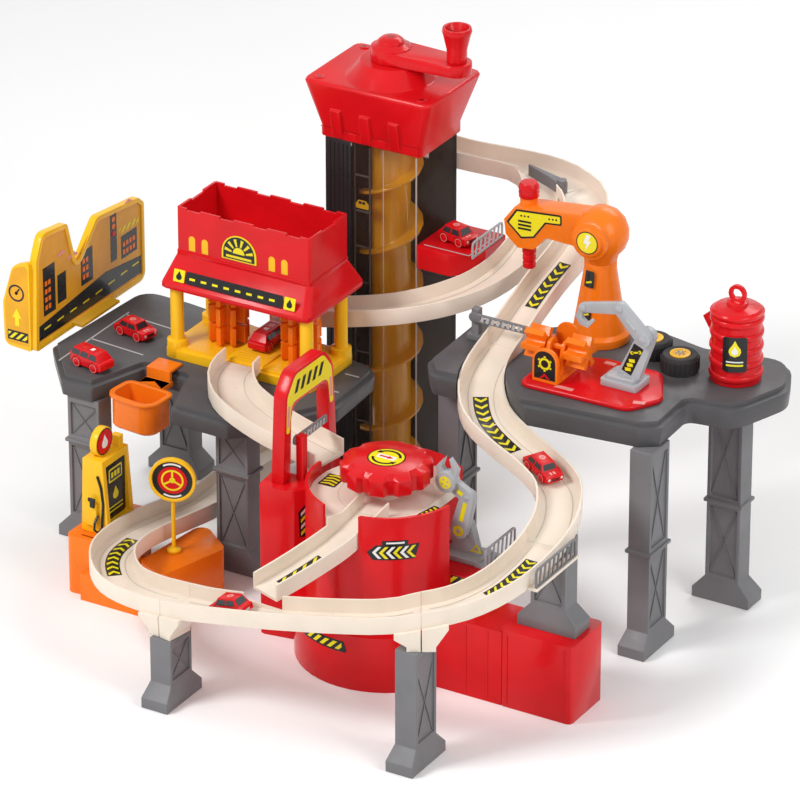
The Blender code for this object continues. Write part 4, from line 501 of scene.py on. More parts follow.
def wrapped(x, y, radius, degrees, height, gap=0.12):
    """Maps (across, up, out) round a standing axis, centred at an angle; radius depends on the height."""
    def where(a, b, c):
        turn = degrees + math.degrees(a / radius(height))
        return Vector((*polar(radius(height + b) + c + gap, turn, x, y), height + b))
    return where


def on_drum(radius, degrees, height):
    return wrapped(*DRUM, lambda level: radius, degrees, height)


# Lattice fences along Y: name, face, start, end, foot, height and finish, under the node that carries each
FENCES = {
    "parking_shelf": ("shelf_fence", 118, -40, 22, 290, 18, "silver_plastic"),
    "grabber_base": ("claw_fence", 295.5, -322, -262, 110.3, 22, "silver_plastic"),
    "slide_right": ("bend_fence", 412.5, -430, -352, 171.5, 20, "grey_plastic")}


def fence(node):
    """A lattice fence with a rounded top frame and leaning bars, in its own colour."""
    name, x, start, end, foot, height, material = FENCES[node]
    low, high = foot - 0.4, foot + height

    def upright(corners, inset):
        return loft([[(out, b, c) for b, c in corners] for out in (x + 0.1 + inset, x + 1.9 - inset)])

    def span(left):
        return [(start + b, c) for b, c in left] + [(end - b, c) for b, c in reversed(left)]
    outer = span([(0, low), (0, high - 4), (1.2, high - 1.2), (4, high)])
    inner = span([(1.8, low + 2), (1.8, high - 4.6), (2.7, high - 2.7), (4.6, high - 1.8)])
    bars = [upright([outer[n - 1], outer[n], inner[n], inner[n - 1]], 0) for n in (1, 2, 3, 4, 5, 6, 7, 0)]
    count = round((end - start) / 9)
    for number in range(1, count):
        middle = start + (end - start) / count * number
        bars.append(upright([(middle - 2.4, low + 1), (middle - 0.6, low + 1), (middle + 2.4, high - 1),
                             (middle + 0.6, high - 1)], 0.2))
    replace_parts(detail(name, bars, material, 0), node)


# Tracks, with the points (x, y, floor) along each lane

MAIN_LINE = [
    (-34, 60.3, 350), (20, 60.8, 347), (60, 67, 343), (100, 80, 338), (140, 88, 332), (178, 79, 324),
    (196.5, 58, 316), (206, 36, 307), (208, 5, 295), (205, -38, 280), (205, -82, 265), (207, -128, 250),
    (209, -165, 238), (220, -198, 228), (245, -230, 219), (282, -252, 212), (325, -270, 205),
    (360, -292, 198), (380, -328, 190), (388, -366, 183), (388, -405, 176), (380, -445, 168),
    (360, -480, 160), (330, -503, 153), (290, -519, 143), (200, -525, 124), (110, -522, 106),
    (62, -517, 98), (20, -508, 92), (-18, -490, 86), (-48, -460, 81), (-68, -425, 76), (-77, -385, 70),
    (-79, -345, 64), (-77, -300, 57), (-74, -250, 49), (-80, -200, 43), (-89, -150, 37), (-92, -105, 32),
    (-88, -60, 27), (-77, -28, 22), (-58, -13, 19), (-40, -8, 16)]
WASH_LINE = [
    (92, 78, 339), (118, 78, 334), (138, 65, 323), (151, 40, 307), (155, 14, 291), (147, -18, 272),
    (128, -47, 257), (98, -71, 245), (64, -86, 235), (30, -93, 226), (0, -96, 219), (-30, -98, 212),
    (-50, -107, 207), (-53, -124.5, 203.35)]
WASH_SLIDE_LINE = [
    (-52, -208.2, 198.5), (-51.5, -224, 196.6), (-43, -245, 194), (-24, -266, 190), (6, -282, 187),
    (45, -294, 182), (80, -300, 178), (108.5, -304.5, 174.5)]
EXIT_LINE = [
    (200, -368, 171.5), (193, -391, 160), (184, -414, 148), (168, -458, 136), (153.5, -499.5, 128.5)]


def on_track(route):
    """Maps (route point, across, up) onto a track's floor."""
    def where(k, across, up):
        index = min(max(int(k), 0), len(route) - 2)
        t = k - index
        rows = [route[n] for n in (max(index - 1, 0), index, index + 1, min(index + 2, len(route) - 1))]
        spot, slope = [], []
        for a, b, c, d in zip(*rows):
            bend, twist = 2 * a - 5 * b + 4 * c - d, 3 * b - a - 3 * c + d
            spot.append(0.5 * (2 * b + (c - a) * t + bend * t * t + twist * t * t * t))
            slope.append(0.5 * (c - a + 2 * bend * t + 3 * twist * t * t))
        left = Vector((-slope[1], slope[0], 0)).normalized()
        return Vector(spot) + left * across + Vector((0, 0, up + 0.16))
    return where


# Grooves along the lanes, drawn as strips of painted shade: name, route, first and last route point, and
# distance from the middle
LANE_LINES = (
    ("lines_upper", MAIN_LINE, 6.2, 10.9, 11.34), ("lines_curve", MAIN_LINE, 11.2, 18.8, 12.69),
    ("lines_right", MAIN_LINE, 19.2, 22.8, 11.07), ("lines_front", MAIN_LINE, 23.2, 26.8, 10.8),
    ("lines_left", MAIN_LINE, 27.2, 36.0, 12.42), ("lines_wash", WASH_LINE, 3.2, 12.6, 12.69),
    ("lines_wash_slide", WASH_SLIDE_LINE, 0.3, 6.8, 13.23))
# Strips of chevrons: name, route, first and last route point, half width and number of chevrons
LANE_MARKS = (
    ("marks_upper", MAIN_LINE, 8.25, 9.75, 6.8, 7), ("marks_curve", MAIN_LINE, 13.05, 15.25, 7.8, 9),
    ("marks_right", MAIN_LINE, 19.7, 21.3, 6.8, 8), ("marks_left", MAIN_LINE, 29.6, 32.2, 7.2, 8),
    ("marks_exit", EXIT_LINE, 2.45, 3.5, 6, 4))


def tracks():
    """Two fine grooves along each lane, drawn as strips of painted shade in a darker cream, and chevrons that
    point the way down.
    """
    for name, route, start, end, half in LANE_LINES:
        strips = [rect(start, end, side * half - 0.4, side * half + 0.4) for side in (-1, 1)]
        prints(name, on_track(route), strips, "groove", step=0.12)
    for name, route, start, end, half, count in LANE_MARKS:
        pitch = (end - start) / count
        edge = half * 0.78
        chevron = [(0, -edge), (pitch * 0.34, -edge), (pitch * 0.78, 0), (pitch * 0.34, edge), (0, edge),
                   (pitch * 0.44, 0)]
        chevrons = [moved(chevron, start + pitch * (number + 0.12)) for number in range(count)]
        prints(name, on_track(route), [rect(start, end, -half, half)], "black", chevrons, "lemon", step=0.08)


# Tower

def tower():
    """Ribs on the dark panels, rims and guides of the clear corner, and the lift's small car; the rims' pale
    tint paints the highlights along the clear panels' edges.
    """
    ribs = boxes((-49.5, -41.6, 12), (-47.9, -40.8, 384), (5.2, 0, 0), 6)
    ribs += boxes((-54.6, -34, 12), (-53.8, -32.4, 384), (0, 5.6, 0), 13)
    detail("tower_ribs", ribs, "dark_plastic", 0.2)
    # The rims are real edges, tinted pale to paint the highlights along them
    rims = boxes((53.2, -41.8, 8), (54.5, -40.5, 387)) + boxes((-23.2, -41.6, 8), (-22.2, -40.8, 387))
    rims += boxes((14.6, -41.6, 8), (15.4, -40.8, 387))
    detail("window_rims_highlight", rims, "clear_rim_highlight", 0.2)
    guides = boxes((-22.2, -37.9, 10), (-20.7, -36, 384), (17.9, 0, 0), 2)
    guides += boxes((-21, -37.6, 30), (-4, -36.4, 32.2), (0, 0, 40), 9)
    detail("lift_guides", guides, "deck_plastic")
    outline = rounded([(-7.5, -4, 1), (7.5, -4, 1), (8, 1, 1), (4, 5, 1), (-4.5, 5, 1), (-8, 1, 1)])
    detail("lift_car", [plate(outline, front(-12.5, -36.1, 318), 1.4)], "yellow_plastic")
    panes = [rect(-4, -0.4, 1.2, 4.2), rect(0.4, 3.8, 1.2, 4.2)]
    prints("lift_car_windows", front(-12.5, -37.5, 318), panes, "glass_dark")


def tower_top():
    """Screwed bosses with painted shade in their screw holes, lip blocks and a seam on the head drawn as a
    line of painted shade, and a mark on the crank's hub.
    """
    corners = [(x, y) for x in (-60, 60) for y in (-41.5, 47.5)]
    bosses = [turned([(5.2, 450.5), (5, 452.8), (4.2, 453.3)], at(x, y, 0), 20) for x, y in corners]
    detail("head_bosses", bosses, "red_plastic", 0.2)
    # The dark red discs paint the shade inside the bosses' screw holes
    prints("head_screw_hole_shade", at(0, 0, 453.3), [circle(2.6, 16, x, y) for x, y in corners], "deep_red")
    blocks = boxes((-25, -42.4, 390.5), (-16, -41.4, 397.5), (34, 0, 0), 2)
    detail("head_lip_blocks", blocks, "red_plastic", 0.4)
    # A thin dark red line paints the shade in the seam along the head's front
    prints("head_lip_seam_shade", front(0, -42.05, 399), [rect(-58.5, 58.5, -0.3, 0.3)], "deep_red")
    prints("hub_mark", at(0, 0, 494.6), [circle(3.6, 20)], "deep_red", body=BODY_OF["crank_arm"])
    bay = [rect(60, 112, -36.2, -34.8), rect(60, 112, 10, 11.4), rect(112, 113.4, -36.2, 11.4)]
    prints("bay_lines", at(0, 0, 290), bay, "pale_grey")


# Wash house

def wash():
    """Ridges on the wash floor, the eave's sign board, and the hopper's round-headed windows and badge."""
    ridges = boxes((-70.5, -203, 197.5), (-33.5, -201.4, 200.2), (0, 4.8, 0), 17)
    detail("wash_ridges", ridges, "yellow_plastic")
    board = frame_at((-65, -207, 279), (0, -1, 0.25))
    outline = rounded([(-72, -8.5, 4), (78, -8.5, 4), (78, 10, 5), (-72, 10, 5)], 4)
    detail("eave_board", [plate(outline, board, 1.3, -16)], "red_plastic", 0.5)
    dashes = [rect(-50 + number * 13.5, -43.5 + number * 13.5, -1.2, 1.2) for number in range(8)]
    squares = [rect(-69, -56, -5.8, 7.2, 1), rect(62, 75, -5.8, 7.2, 1)]
    prints("eave_print", frame_at(board @ Vector((0, 0, -0.7)), (0, -1, 0.25)),
           [rect(-54.5, 60.5, -5.8, 7.2, 2)], "black", dashes + squares, "lemon",
           [drop(4.2, a, 0.4) for a in (-62.5, 68.5)], "black")
    windows = [[(a - 3.8, -7.5), (a + 3.8, -7.5)] + [polar(3.8, turn, a, 5) for turn in range(0, 181, 20)]
               for a in (-60.8, -45.5, 34.1, 49)]
    hopper = front(-66, -182, 305)
    detail("hopper_windows", [plate(window, hopper, 0.9, -0.4) for window in windows], "yellow_plastic")
    arch = [polar(20.5, turn) for turn in range(0, 181, 12)] + [(-20.5, -7.5), (20.5, -7.5)]
    detail("wash_badge", [plate(arch, front(-70.5, -182.2, 306.8), 1.2, -0.4)], "lemon")
    lean = math.degrees(0.1)
    corners = ((8.8, -lean), (17.2, -lean), (17.2, lean), (8.8, lean))
    rays = [[polar(radius, turn + side) for radius, side in corners] for turn in range(15, 181, 30)]
    hub = moved([(a, b) for a, b in arch if b > -1], 0, 0.8, 0.34)
    prints("wash_badge_print", front(-70.5, -183, 306.8), [moved(arch, 0, 0.8, 0.9)], "black",
           rays + [hub, rect(-15, 15, -4.5, -2)], "lemon")


# Left platform, sign board and fuel corner

def left_deck():
    """Bay lines and an arrow on the left platform."""
    top = at(0, 0, 185)
    lines = [bar(34, 0.9, -200, -148, -0.08), bar(34, 0.9, -200, -214, -0.08), bar(0.9, 66, -233.5, -205),
             rect(34, 50, -150, -148), rect(34, 50, -190, -188)]
    prints("deck_lines", top, lines, "pale_grey")
    prints("bay_marks", top, [moved(arrow(20, 12), -150, -150, 1, math.pi)], "pale_grey",
           [rect(-147.1, -145.9, -152.4, -147.6)], "deck_plastic")


def board_face():
    """A made-up street scene on the board: a road, blocks with lit windows, a traffic light and clouds."""
    matrix = side_on(-268, -159, 185)
    panel = [(-98, 4), (-98, 94), (-86, 118), (-42, 113), (-30, 66), (12, 98), (90, 90), (98, 83), (98, 4)]
    road = [(-97, 6), (97, 6), (97, 26), (30, 34), (-97, 22)]
    dashes = [bar(6, 0.9, a, 16 + max(a, 0) * 0.05, 0.04) for a in (-80, -56, -32, -8, 16, 40, 64, 86)]
    towers = [rect(-86, -64, 30, 84), rect(-60, -44, 34, 66), rect(-16, 6, 36, 74), rect(40, 52, 40, 93),
              rect(60, 90, 36, 62)]
    windows = [rect(a + 6.2 * column + 0.8, a + 6.2 * column + 5, b + 9 * row, b + 9 * row + 5.2)
               for a, b, columns, rows in ((-84, 36, 2, 4), (-14, 42, 2, 3), (62, 40, 4, 2))
               for row in range(rows) for column in range(columns)]
    cloud = [(-11, 0), (11, 0), (9.5, 3), (6, 3.6), (4, 6.2), (-0.2, 7), (-3.6, 4.8), (-7.2, 4.4),
             (-9.8, 2.2)]
    clouds = [moved(cloud, -32, 76, 0.9), moved(cloud, 74, 94, 0.8), moved(cloud, -52, 87, 0.6)]
    prints("board_print", matrix, [panel], "amber_print", [road] + towers, "black",
           dashes + slants(56, 94, 66, 72, 9.5), "lemon",
           windows + [circle(3, 14, 46, 87.5), circle(3, 14, 46, 79.5)], "orange_plastic",
           [circle(3, 14, 46, 71.5)], "red_plastic", clouds, "pink")
    detail("board_rail", [plate(rect(-98.5, 98.5, 1.5, 4), matrix, 1.2, -0.2)], "yellow_plastic")


def wing_face():
    """A dial, stripes and an arrow on the folded panel."""
    panel = rounded([(-15, 2, 4), (13, 2, 2), (13, 94, 4), (-5, 87, 10), (-15.5, 47, 10)])
    hand = [moved(rect(-0.8, 0.8, -1, 6.5), -1, 60, 1, -0.6), circle(1.8, 14, -1, 60)]
    prints("wing_print", front(-287, box_of("billboard")[0][1], 185), [panel], "amber_print",
           [rect(-13, 12, 6, 17)] + ring(9.5, 7.5, x=-1, y=60), "black",
           slants(-12, 11, 8, 15, 7.8) + [moved(arrow(20, 11), -1, 33, 1, math.pi / 2)], "lemon",
           hand, "black")


def fuel():
    """Prints on the pump and its base, and the hose with its nozzle."""
    marks = [rect(-8 + 5.6 * n, -4.2 + 5.6 * n, 16.5, 22.5) for n in range(3)]
    prints("pump_face", side_on(-112.9, -354, 105.3), [rect(-17.6, 17.6, -28.6, 32.6, 3)], "black",
           [rect(-12, 12, 12, 27, 2)], "lemon", [rect(-10.2, 10.2, 13.8, 25.2, 1)], "glass_dark",
           marks, "lemon")
    bars = [rect(-12.5, 12.5, -17, -15.6), rect(-12.5, 12.5, -21.5, -20.1)]
    prints("pump_print", side_on(-112.7, -354, 105.3), [drop(6.4, 0, -3)] + bars, "lemon")
    prints("pump_badge", side_on(-120.7, -360, 160.3), [circle(14.2, 28)], "black",
           [circle(12.8, 28)], "red_plastic", [drop(6.6, 0, -0.5)], "white")
    hose = [(-118, -379.8, 86), (-118, -385.6, 80), (-117, -388, 74), (-115, -385, 70), (-113, -380, 74),
            (-112, -378.6, 100), (-114, -378.8, 118), (-118, -379, 130)]
    detail("fuel_hose", [tube(hose, 1.4, 12)], "black", 0, angle=50)
    nozzle = boxes((-124.5, -384.6, 96), (-119.5, -381.8, 104))
    nozzle += boxes((-126.8, -384.2, 102), (-118.5, -382.2, 106.2))
    detail("fuel_nozzle", nozzle, "black", 0.5)
    lines = [rect(-133, -108, -322, -320), rect(-133, -108, -388, -386)]
    prints("fuel_lines", at(0, 0, 64), lines, "deep_red")


def sign_face():
    """A steering wheel's ring, spokes and dots on both sides of the round sign."""
    (x0, y0, _), (x1, y1, top) = box_of("road_sign")
    centre = Vector(((x0 + x1) / 2, (y0 + y1) / 2, top - 24))
    normal = Vector((*polar(1, -70), 0))
    spokes = [moved(rect(2, 10, -1, 1), turn=math.radians(degrees)) for degrees in (90, 210, 330)]
    for name, side, reach in (("sign_front", 1, 1.5), ("sign_back", -1, -3)):
        prints(name, frame_at(centre + normal * reach, normal * side), [circle(20.6, 32)], "black",
               [circle(15, 32)], "red_plastic", ring(11.6, 9.8) + spokes + [circle(3, 20)], "lemon",
               ring(19, 17.2, 60, 60, 6) + ring(19, 17.2, 240, 60, 6), "white")


# Turntable drum and claw

def station():
    """The knob's badge, and the prints on the drum, its plinth and its deck."""
    sweeps = ring(14.8, 12.2, 200, 120) + ring(14.8, 12.2, 20, 120)
    heads = [moved([(-3, 0), (3, 0), (0, 5.5)], *polar(13.5, turn), 1, math.radians(turn))
             for turn in (140, 320)]
    prints("knob_badge", at(*DRUM, box_of("gear_knob")[1][2]), [circle(19, 40)], "black",
           [circle(17.6, 40)], "lemon", sweeps + heads, "black", [rect(-10, 10, -3.8, 3.8, 1)], "white",
           [arrow(15, 5.6)], "red_plastic", body=BODY_OF["gear_knob"])
    heads = arrowheads(6, 6.8, 6.4, 3.4)
    banner = [(-21.5, -8), (20.5, -8), (25.5, 8), (-18, 8), (-27, 0)]
    tab = [(-12, 7.8), (13, 7.8), (14, 13), (-12, 13)]
    prints("drum_arrows", on_drum(80, -54, 149), [banner, tab], "black",
           heads[0::2] + [rect(-8, 10, 9.6, 11.4)], "white", heads[1::2], "lemon", step=6)
    heads = [[(b, -a - 1) for a, b in head] for head in arrowheads(4, 7.2, 6.2, 3.6)]
    shield = [(-7.8, -18), (7.8, -18), (9.2, 10), (0, 18.5), (-9.2, 10)]
    prints("drum_side_arrows", frame_at((111.8, -353.5, 131), (0.848, -0.530, 0)), [shield], "black",
           heads[0::2], "white", heads[1::2], "lemon")
    plinth = rounded([(-30, -6, 2), (30, -6, 2), (26, 6, 2), (-26, 6, 2)])
    prints("plinth_badge", on_drum(92, -103, 46), [plinth], "black", slants(-24, 24, -4, 4, 9.6), "lemon",
           step=6)
    deck = at(*DRUM, 172)
    chevron = [(-2.2, -7.6), (0.4, -7.6), (2.68, 0), (0.4, 7.6), (-2.2, 7.6), (0.08, 0)]
    chevrons = [moved(chevron, 0, -8.2 + 5.6 * number, 1, -math.pi / 2) for number in range(4)]
    for name, degrees in (("deck_mark_left", 182), ("deck_mark_right", -12)):
        spot = deck @ Matrix.Rotation(math.radians(degrees), 4, "Z") @ at(61, 0, 0)
        prints(name, spot, [rect(-9.6, 9.6, -12, 13, 1)], "black", chevrons, "lemon")
    # The deck's seam is a ring of painted shade in darker cream
    prints("deck_seam_shade", deck, ring(48, 47.4, steps=48), "groove")


def arch_print():
    """A band with bars along both sides of the arch."""
    panel = rounded([(-44.5, 52, 3), (-38.5, 52, 2), (-34.5, 82.5, 10), (34.5, 82.5, 10), (38.5, 52, 2),
                     (44.5, 52, 3), (42, 91.5, 14), (26.5, 110.5, 10), (-26.5, 110.5, 10), (-42, 91.5, 14)])
    bars = [[(a + (b - 97) * 0.45, b) for a, b in rect(-26 + 11.2 * n, -20.5 + 11.2 * n, 90.5, 103.5)]
            for n in range(5)]
    corners = [bar(2, 11, -40, 70, -0.10), bar(2, 11, 40, 70, 0.10)]
    for name, side, face in (("arch_print_right", 1, 88), ("arch_print_left", -1, 74)):
        matrix = frame_at((face, -307, 165.3), (side, 0, 0))
        prints(name, matrix, [panel], "lemon", bars, "black", corners, "pink")


def lower_front():
    """Ribs on the drum's long box, and hazard bands on the pedestal."""
    ribs = boxes((306, -378.1, 4), (308.2, -377.1, 78), (24, 0, 0), 2)
    ribs += boxes((352, -378.6, 4), (354.2, -377.6, 80), (64, 0, 0), 2)
    detail("box_ribs", ribs, "red_plastic")
    for name, matrix, half in (("pedestal_band", front(269, -345, 101.5), 24),
                               ("pedestal_side_band", side_on(298, -314.5, 101.5), 27)):
        prints(name, matrix, [rect(-half, half, -7.5, 7.5)], "black",
               slants(-half, half, -6.6, 6.6, 9.8), "lemon")


def claw():
    """A disc, bars and a bolt on the bent claw, and a triangle on its pedestal."""
    body = BODY_OF["grabber_arm"]
    pivot, elbow, grip = Vector((264, 143)), Vector((273, 181)), Vector((250.5, 194))
    screws = [circle(1.2, 10, *polar(3.6, math.degrees(turn), *grip)) for turn in (0.5, 2.07, 3.64, 5.21)]
    prints("claw_disc", front(0, box_of("grabber_arm")[0][1], 0), [circle(6.6, 24, *grip)], "lemon",
           screws, "silver_plastic", body=body)
    marks = []
    for start, line, low, high in ((pivot, elbow - pivot, 0.30, 0.86), (elbow, grip - elbow, 0.20, 0.45)):
        marks.append(bar(line.length * (high - low) / 2, 2.2, *(start + line * (low + high) / 2),
                         math.atan2(line.y, line.x)))
    prints("claw_marks", front(0, -318.3, 0), marks + [circle(5.8, 24, *pivot)], "lemon",
           [circle(2.4, 16, *pivot)], "silver_plastic", body=body)
    bolts("claw_bolts", [(elbow.x, -317.9, elbow.y)], 2.8, 1, body)
    triangle = [(-7, -3.5), (7, -3.5), (1, 6)]
    prints("claw_triangle", front(279, -309, 122.5), [triangle], "lemon", [moved(triangle, 0, 0.3, 0.5)],
           "silver_plastic")


# Legs: node, middle (or None for the middle of its box), axis along its wide side, and top
LEGS = (
    ("left_leg_rear", -193, -107, "X", 162.7), ("left_leg_front", -190, -282, "X", 162.7),
    ("left_leg_inner", -25, -262, "X", 162.7), ("right_leg_near", 411, -199, "Y", 223.7),
    ("right_leg_far", 433, -69, "X", 223.7), ("right_leg_inner", 172, -160, "Y", 223.7),
    ("front_leg_right", None, None, "Y", 127.7), ("front_leg_left", None, None, "Y", 72.7),
    ("slide_leg", None, None, "X", 185.3))


def legs():
    """Diagonal braces moulded in the sunk panels of every leg."""
    half = 14.5
    for node, x, y, wide, top in LEGS:
        (x0, y0, bottom), (x1, y1, _) = box_of(node)
        if x is None:
            x, y = (x0 + x1) / 2, (y0 + y1) / 2
        spans = [(bottom + 31, min(bottom + 104, top - 10))]
        if top > bottom + 135:
            spans.append((bottom + 120, top - 10))
        braces = []
        for side in (-1, 1):
            normal = Vector((0, side, 0) if wide == "X" else (side, 0, 0))
            matrix = frame_at(Vector((x, y, 0)) + normal * 9.7, normal)
            for low, high in spans:
                for hand in (-1, 1):
                    line = Vector((2 * half * hand, high - low))
                    brace = bar(line.length / 2, 0.9, 0, (low + high) / 2, math.atan2(line.y, line.x))
                    outline = [(min(max(a, -half), half), min(max(b, low), high)) for a, b in brace]
                    braces.append(plate(outline, matrix, 1.4, -0.3))
        detail(node + "_braces", braces, "grey_plastic", 0)


# Right platform and the repair deck

def right_deck():
    """Marks on the repair plate and bars on both gates."""
    pads = [bar(10, 2.8, 309, -189), bar(6, 3, 388, -180, 0.3), bar(6, 3, 322, -118)]
    prints("plate_marks", at(0, 0, 255.3), pads, "pink")
    bars = [bar(1.6, 3, -18 + 6 * n, 0, -0.3) for n in range(8)]
    low, high = box_of("gate_arm")
    matrix = front((low[0] + high[0]) / 2, -133.3, 276)
    prints("gate_arm_bars", matrix, bars, "pale_grey", body=BODY_OF["gate_arm"])
    low, high = box_of("entry_gate_arm")
    matrix = side_on(91.7, (low[1] + high[1]) / 2, 206)
    prints("entry_gate_arm_bars", matrix, bars, "pale_grey", body=BODY_OF["entry_gate_arm"])


def tyres():
    """Treads, rims and nuts on the two spare wheels."""
    treads, rims, nuts = [], [], []
    for x, y in ((383, -86), (343, -68)):
        spot = at(x, y, 0)
        treads.append(turned([(18.6, 250.2), (19.2, 254), (19.2, 264.5), (17.8, 267.5), (16.8, 268.3),
                              (12.2, 268.3), (11.2, 268)], spot, 36))
        for number in range(26):
            turn = Matrix.Rotation(math.tau * number / 26, 4, "Z")
            treads.append(plate(rect(18.8, 19.8, -1.3, 1.3), spot @ turn, 11.5, 253.5))
        rims.append(turned([(10.8, 267.5), (10.4, 269), (7.2, 269.2), (6.6, 268.4)], spot, 30))
        nuts += [turned([(1.1, 268), (1.1, 269.4), (0.8, 269.7)], at(*polar(4, 72 * n, x, y), 0), 8)
                 for n in range(5)]
        nuts.append(turned([(1.7, 268), (1.7, 269.4), (1, 269.9)], spot, 12))
    detail("spare_tyres", treads, "tyre", 0.2)
    detail("spare_rims", rims, "yellow_plastic", 0, angle=40)
    detail("spare_nuts", nuts, "silver_plastic", 0, angle=50)


def robot():
    """The shoulder's cap and badge, the plate on the drill's head, the beacon and the collar."""
    body = BODY_OF["robot_arm"]
    (x, y), z = ROBOT, 366
    cap = turned([(19.6, 22.5), (19.6, 24.8), (18.6, 25.6), (16, 25.8), (15.2, 26.6), (15, 28.4), (14.2, 29)],
                 front(x, y, z), 48)
    detail("robot_cap", [cap], "orange_plastic", 0, body, 40)
    flash = [(-1, 8.8), (4.2, 8.8), (1.2, 2.2), (4.6, 2.2), (-2.2, -9.2), (-0.4, -1.2), (-4.2, -1.2)]
    prints("robot_badge", front(x, y - 29, z), [circle(12.2, 32)], "black", [circle(11, 32)], "lemon",
           [flash], "white", body=body)
    outline = rounded([(-19, -6, 1), (-8, 10, 1), (44, 15, 2), (44, 3.5, 2), (26, 1.5, 2), (13, -17, 2),
                       (-2, -21, 2)])
    inner = rounded([(-16, -6, 1), (-6.8, 8, 1), (42.2, 12.8, 1), (42.2, 5.2, 1), (25, 3.2, 1),
                     (11.8, -15.2, 1), (-1.4, -18.6, 1)])
    dots = [circle(1.1, 10, a, b) for a, b in ((-2, 4.2), (2, 4.6), (6, 5), (30, 7.8), (34, 8.2), (38, 8.6))]
    bars = [bar(7.5, 1.1, 2, b, 0.05) for b in (-1.5, -5.5, -9.5)]
    prints("robot_plate", front(x - 81.5, y - 13.5, z), [outline], "black", [inner], "lemon",
           dots + bars, "black", body=body)
    lamp = at(x - 82.5, y, 0)
    beacon = [turned([(9.8, low), (10.6, low + 0.5), (10.6, low + 1.8), (9.8, low + 2.3)], lamp, 24)
              for low in (390.5, 394.5)]
    beacon.append(turned([(10.1, 386.8), (10.3, 387.2), (10.3, 399), (8.4, 402), (0, 402.4)], lamp, 24))
    detail("robot_beacon", beacon, "red_plastic", 0, body, 40)
    collar = turned([(11.8, -30.5), (11.8, -24), (12.6, -21.5), (12.6, -19)], at(x - 81.5, y, z), 28)
    detail("robot_collar", [collar], "orange_plastic", 0, body, 40)


def drill():
    """The drill's banded sleeve, which stands for its node."""
    profile = [(5.6, -25), (6.6, -24), (6.6, -19), (5.8, -18.2), (5.8, -16.6), (6.8, -15.8), (6.8, -11.2),
               (6, -10.4), (6, -8.8), (7.2, -8), (7.2, -0.8), (6.4, 0), (4.4, 0), (4.4, 19)]
    sleeve = turned(profile, at(197.5, -62, box_of("robot_drill")[1][2] - 20), 28)
    look = detail("robot_drill_look", [sleeve], "red_plastic", 0, BODY_OF["robot_drill"], 40)
    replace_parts(look, "robot_drill")


def leg_prints():
    """Hazard plates on the front of the robot's tapering leg."""
    low, high = box_of("robot_base")
    foot = low[2] + 12

    def radius(height):
        return 27 - 10.5 * (height - foot) / (high[2] - foot)
    for name, height, count in (("leg_plate_upper", 322, 1), ("leg_plate_lower", 288, 3)):
        bars = [bar(3.2, 0.9, 0, -3 + 4 * number, 0.35) for number in range(count)]
        prints(name, wrapped(*ROBOT, radius, -96, height, 0.4), [rect(-5.2, 5.2, -8.5, 8.5, 1)], "black",
               bars, "lemon", step=2)


def turner():
    """A print on the turner's stand and the disc behind its drum."""
    arch = rounded([(-11.8, 3.5, 0.5), (11.8, 3.5, 0.5), (11.8, 34, 11.2), (-11.8, 34, 11.2)], 5)
    teeth = [moved(rect(6, 8.4, -1.1, 1.1), 0, 20.5, 1, math.radians(30 + 60 * n)) for n in range(6)]
    wedge = [(-6, 4.5), (-3, 4.5), (0, 7.2), (3, 4.5), (6, 4.5), (0, 10)]
    prints("stand_print", front(287, box_of("turner_stand")[0][1], 255.6), [arch], "black",
           ring(6.6, 4.2, y=20.5) + teeth, "lemon", [wedge], "red_plastic")
    disc = rounded([(-13, 0, 0.5), (13, 0, 0.5), (13, 42.5, 12.8), (-13, 42.5, 12.8)], 6)
    detail("turner_disc", [plate(disc, front(287, -140, 259.2), 2.6)], "orange_plastic", 0.8)


def crane():
    """The crane's print, bolts, rod and step."""
    body = BODY_OF["crane_arm"]
    slope = Vector((22, 52)).normalized()
    tilt = math.atan2(slope.y, slope.x)
    middle = slope * 7.8
    marks = [bar(1.8, 3.2, *(slope * (5.5 * n - 14)), tilt + 0.5) for n in range(3)]
    bone = [bar(4.5, 0.9, *middle, tilt - 0.9)]
    bone += [circle(1.9, 14, *polar(reach, math.degrees(tilt - 0.9), *middle)) for reach in (4.5, -4.5)]
    prints("crane_print", front(366.5, -154, 287), [moved(rect(-18.5, 16, -5.8, 5.8, 1), turn=tilt)], "black",
           marks + bone, "lemon")
    bolts("crane_bolts", [(381, -162.3, 314), (354, -162.3, 341), (313, -161.8, 332)], 4, 1.2, body)
    rod = [(372.5, -162.5, 322.5), (362.5, -162.5, 332.5)]
    detail("crane_rod", [tube(rod, 1, 10)], "pale_grey", 0, body, 50)
    foot = loft([[(a, b, z) for a, b in rect(340 + s, 372 - s, -162.5 + s, -137.5 - s, 3)]
                 for z, s in ((262, 0), (266, 0), (267.2, 1.2))])
    detail("crane_step", [foot], "silver_plastic")


def barrel():
    """Bands, the rim and the label on the barrel."""
    body = BODY_OF["oil_barrel"]
    spot = at(438, -72, 0)
    band = [(25.6, -3.6), (26.6, -2.6), (27.15, -1), (27.15, 1), (26.6, 2.6), (25.6, 3.6)]
    bands = [turned([(radius, 257.7 + 14.8 * number + rise) for radius, rise in band], spot, 56)
             for number in range(5)]
    bands.append(turned([(25.8, 321.3), (27.1, 322.3), (27.2, 323.9), (26.2, 324.7)], spot, 56))
    detail("barrel_bands", bands, "red_plastic", 0, body, 50)
    prints("barrel_label", wrapped(438, -72, lambda level: 27.2, -66, 287, 0.05),
           [rect(-12.5, 12.5, -19, 19, 3)], "black",
           [drop(7.8, 0, 5.5), rect(-8.5, 8.5, -12.5, -10.5)], "lemon",
           [drop(4, 0, 4), rect(-8.5, 8.5, -8.5, -7.2)], "white", body=body, step=3)


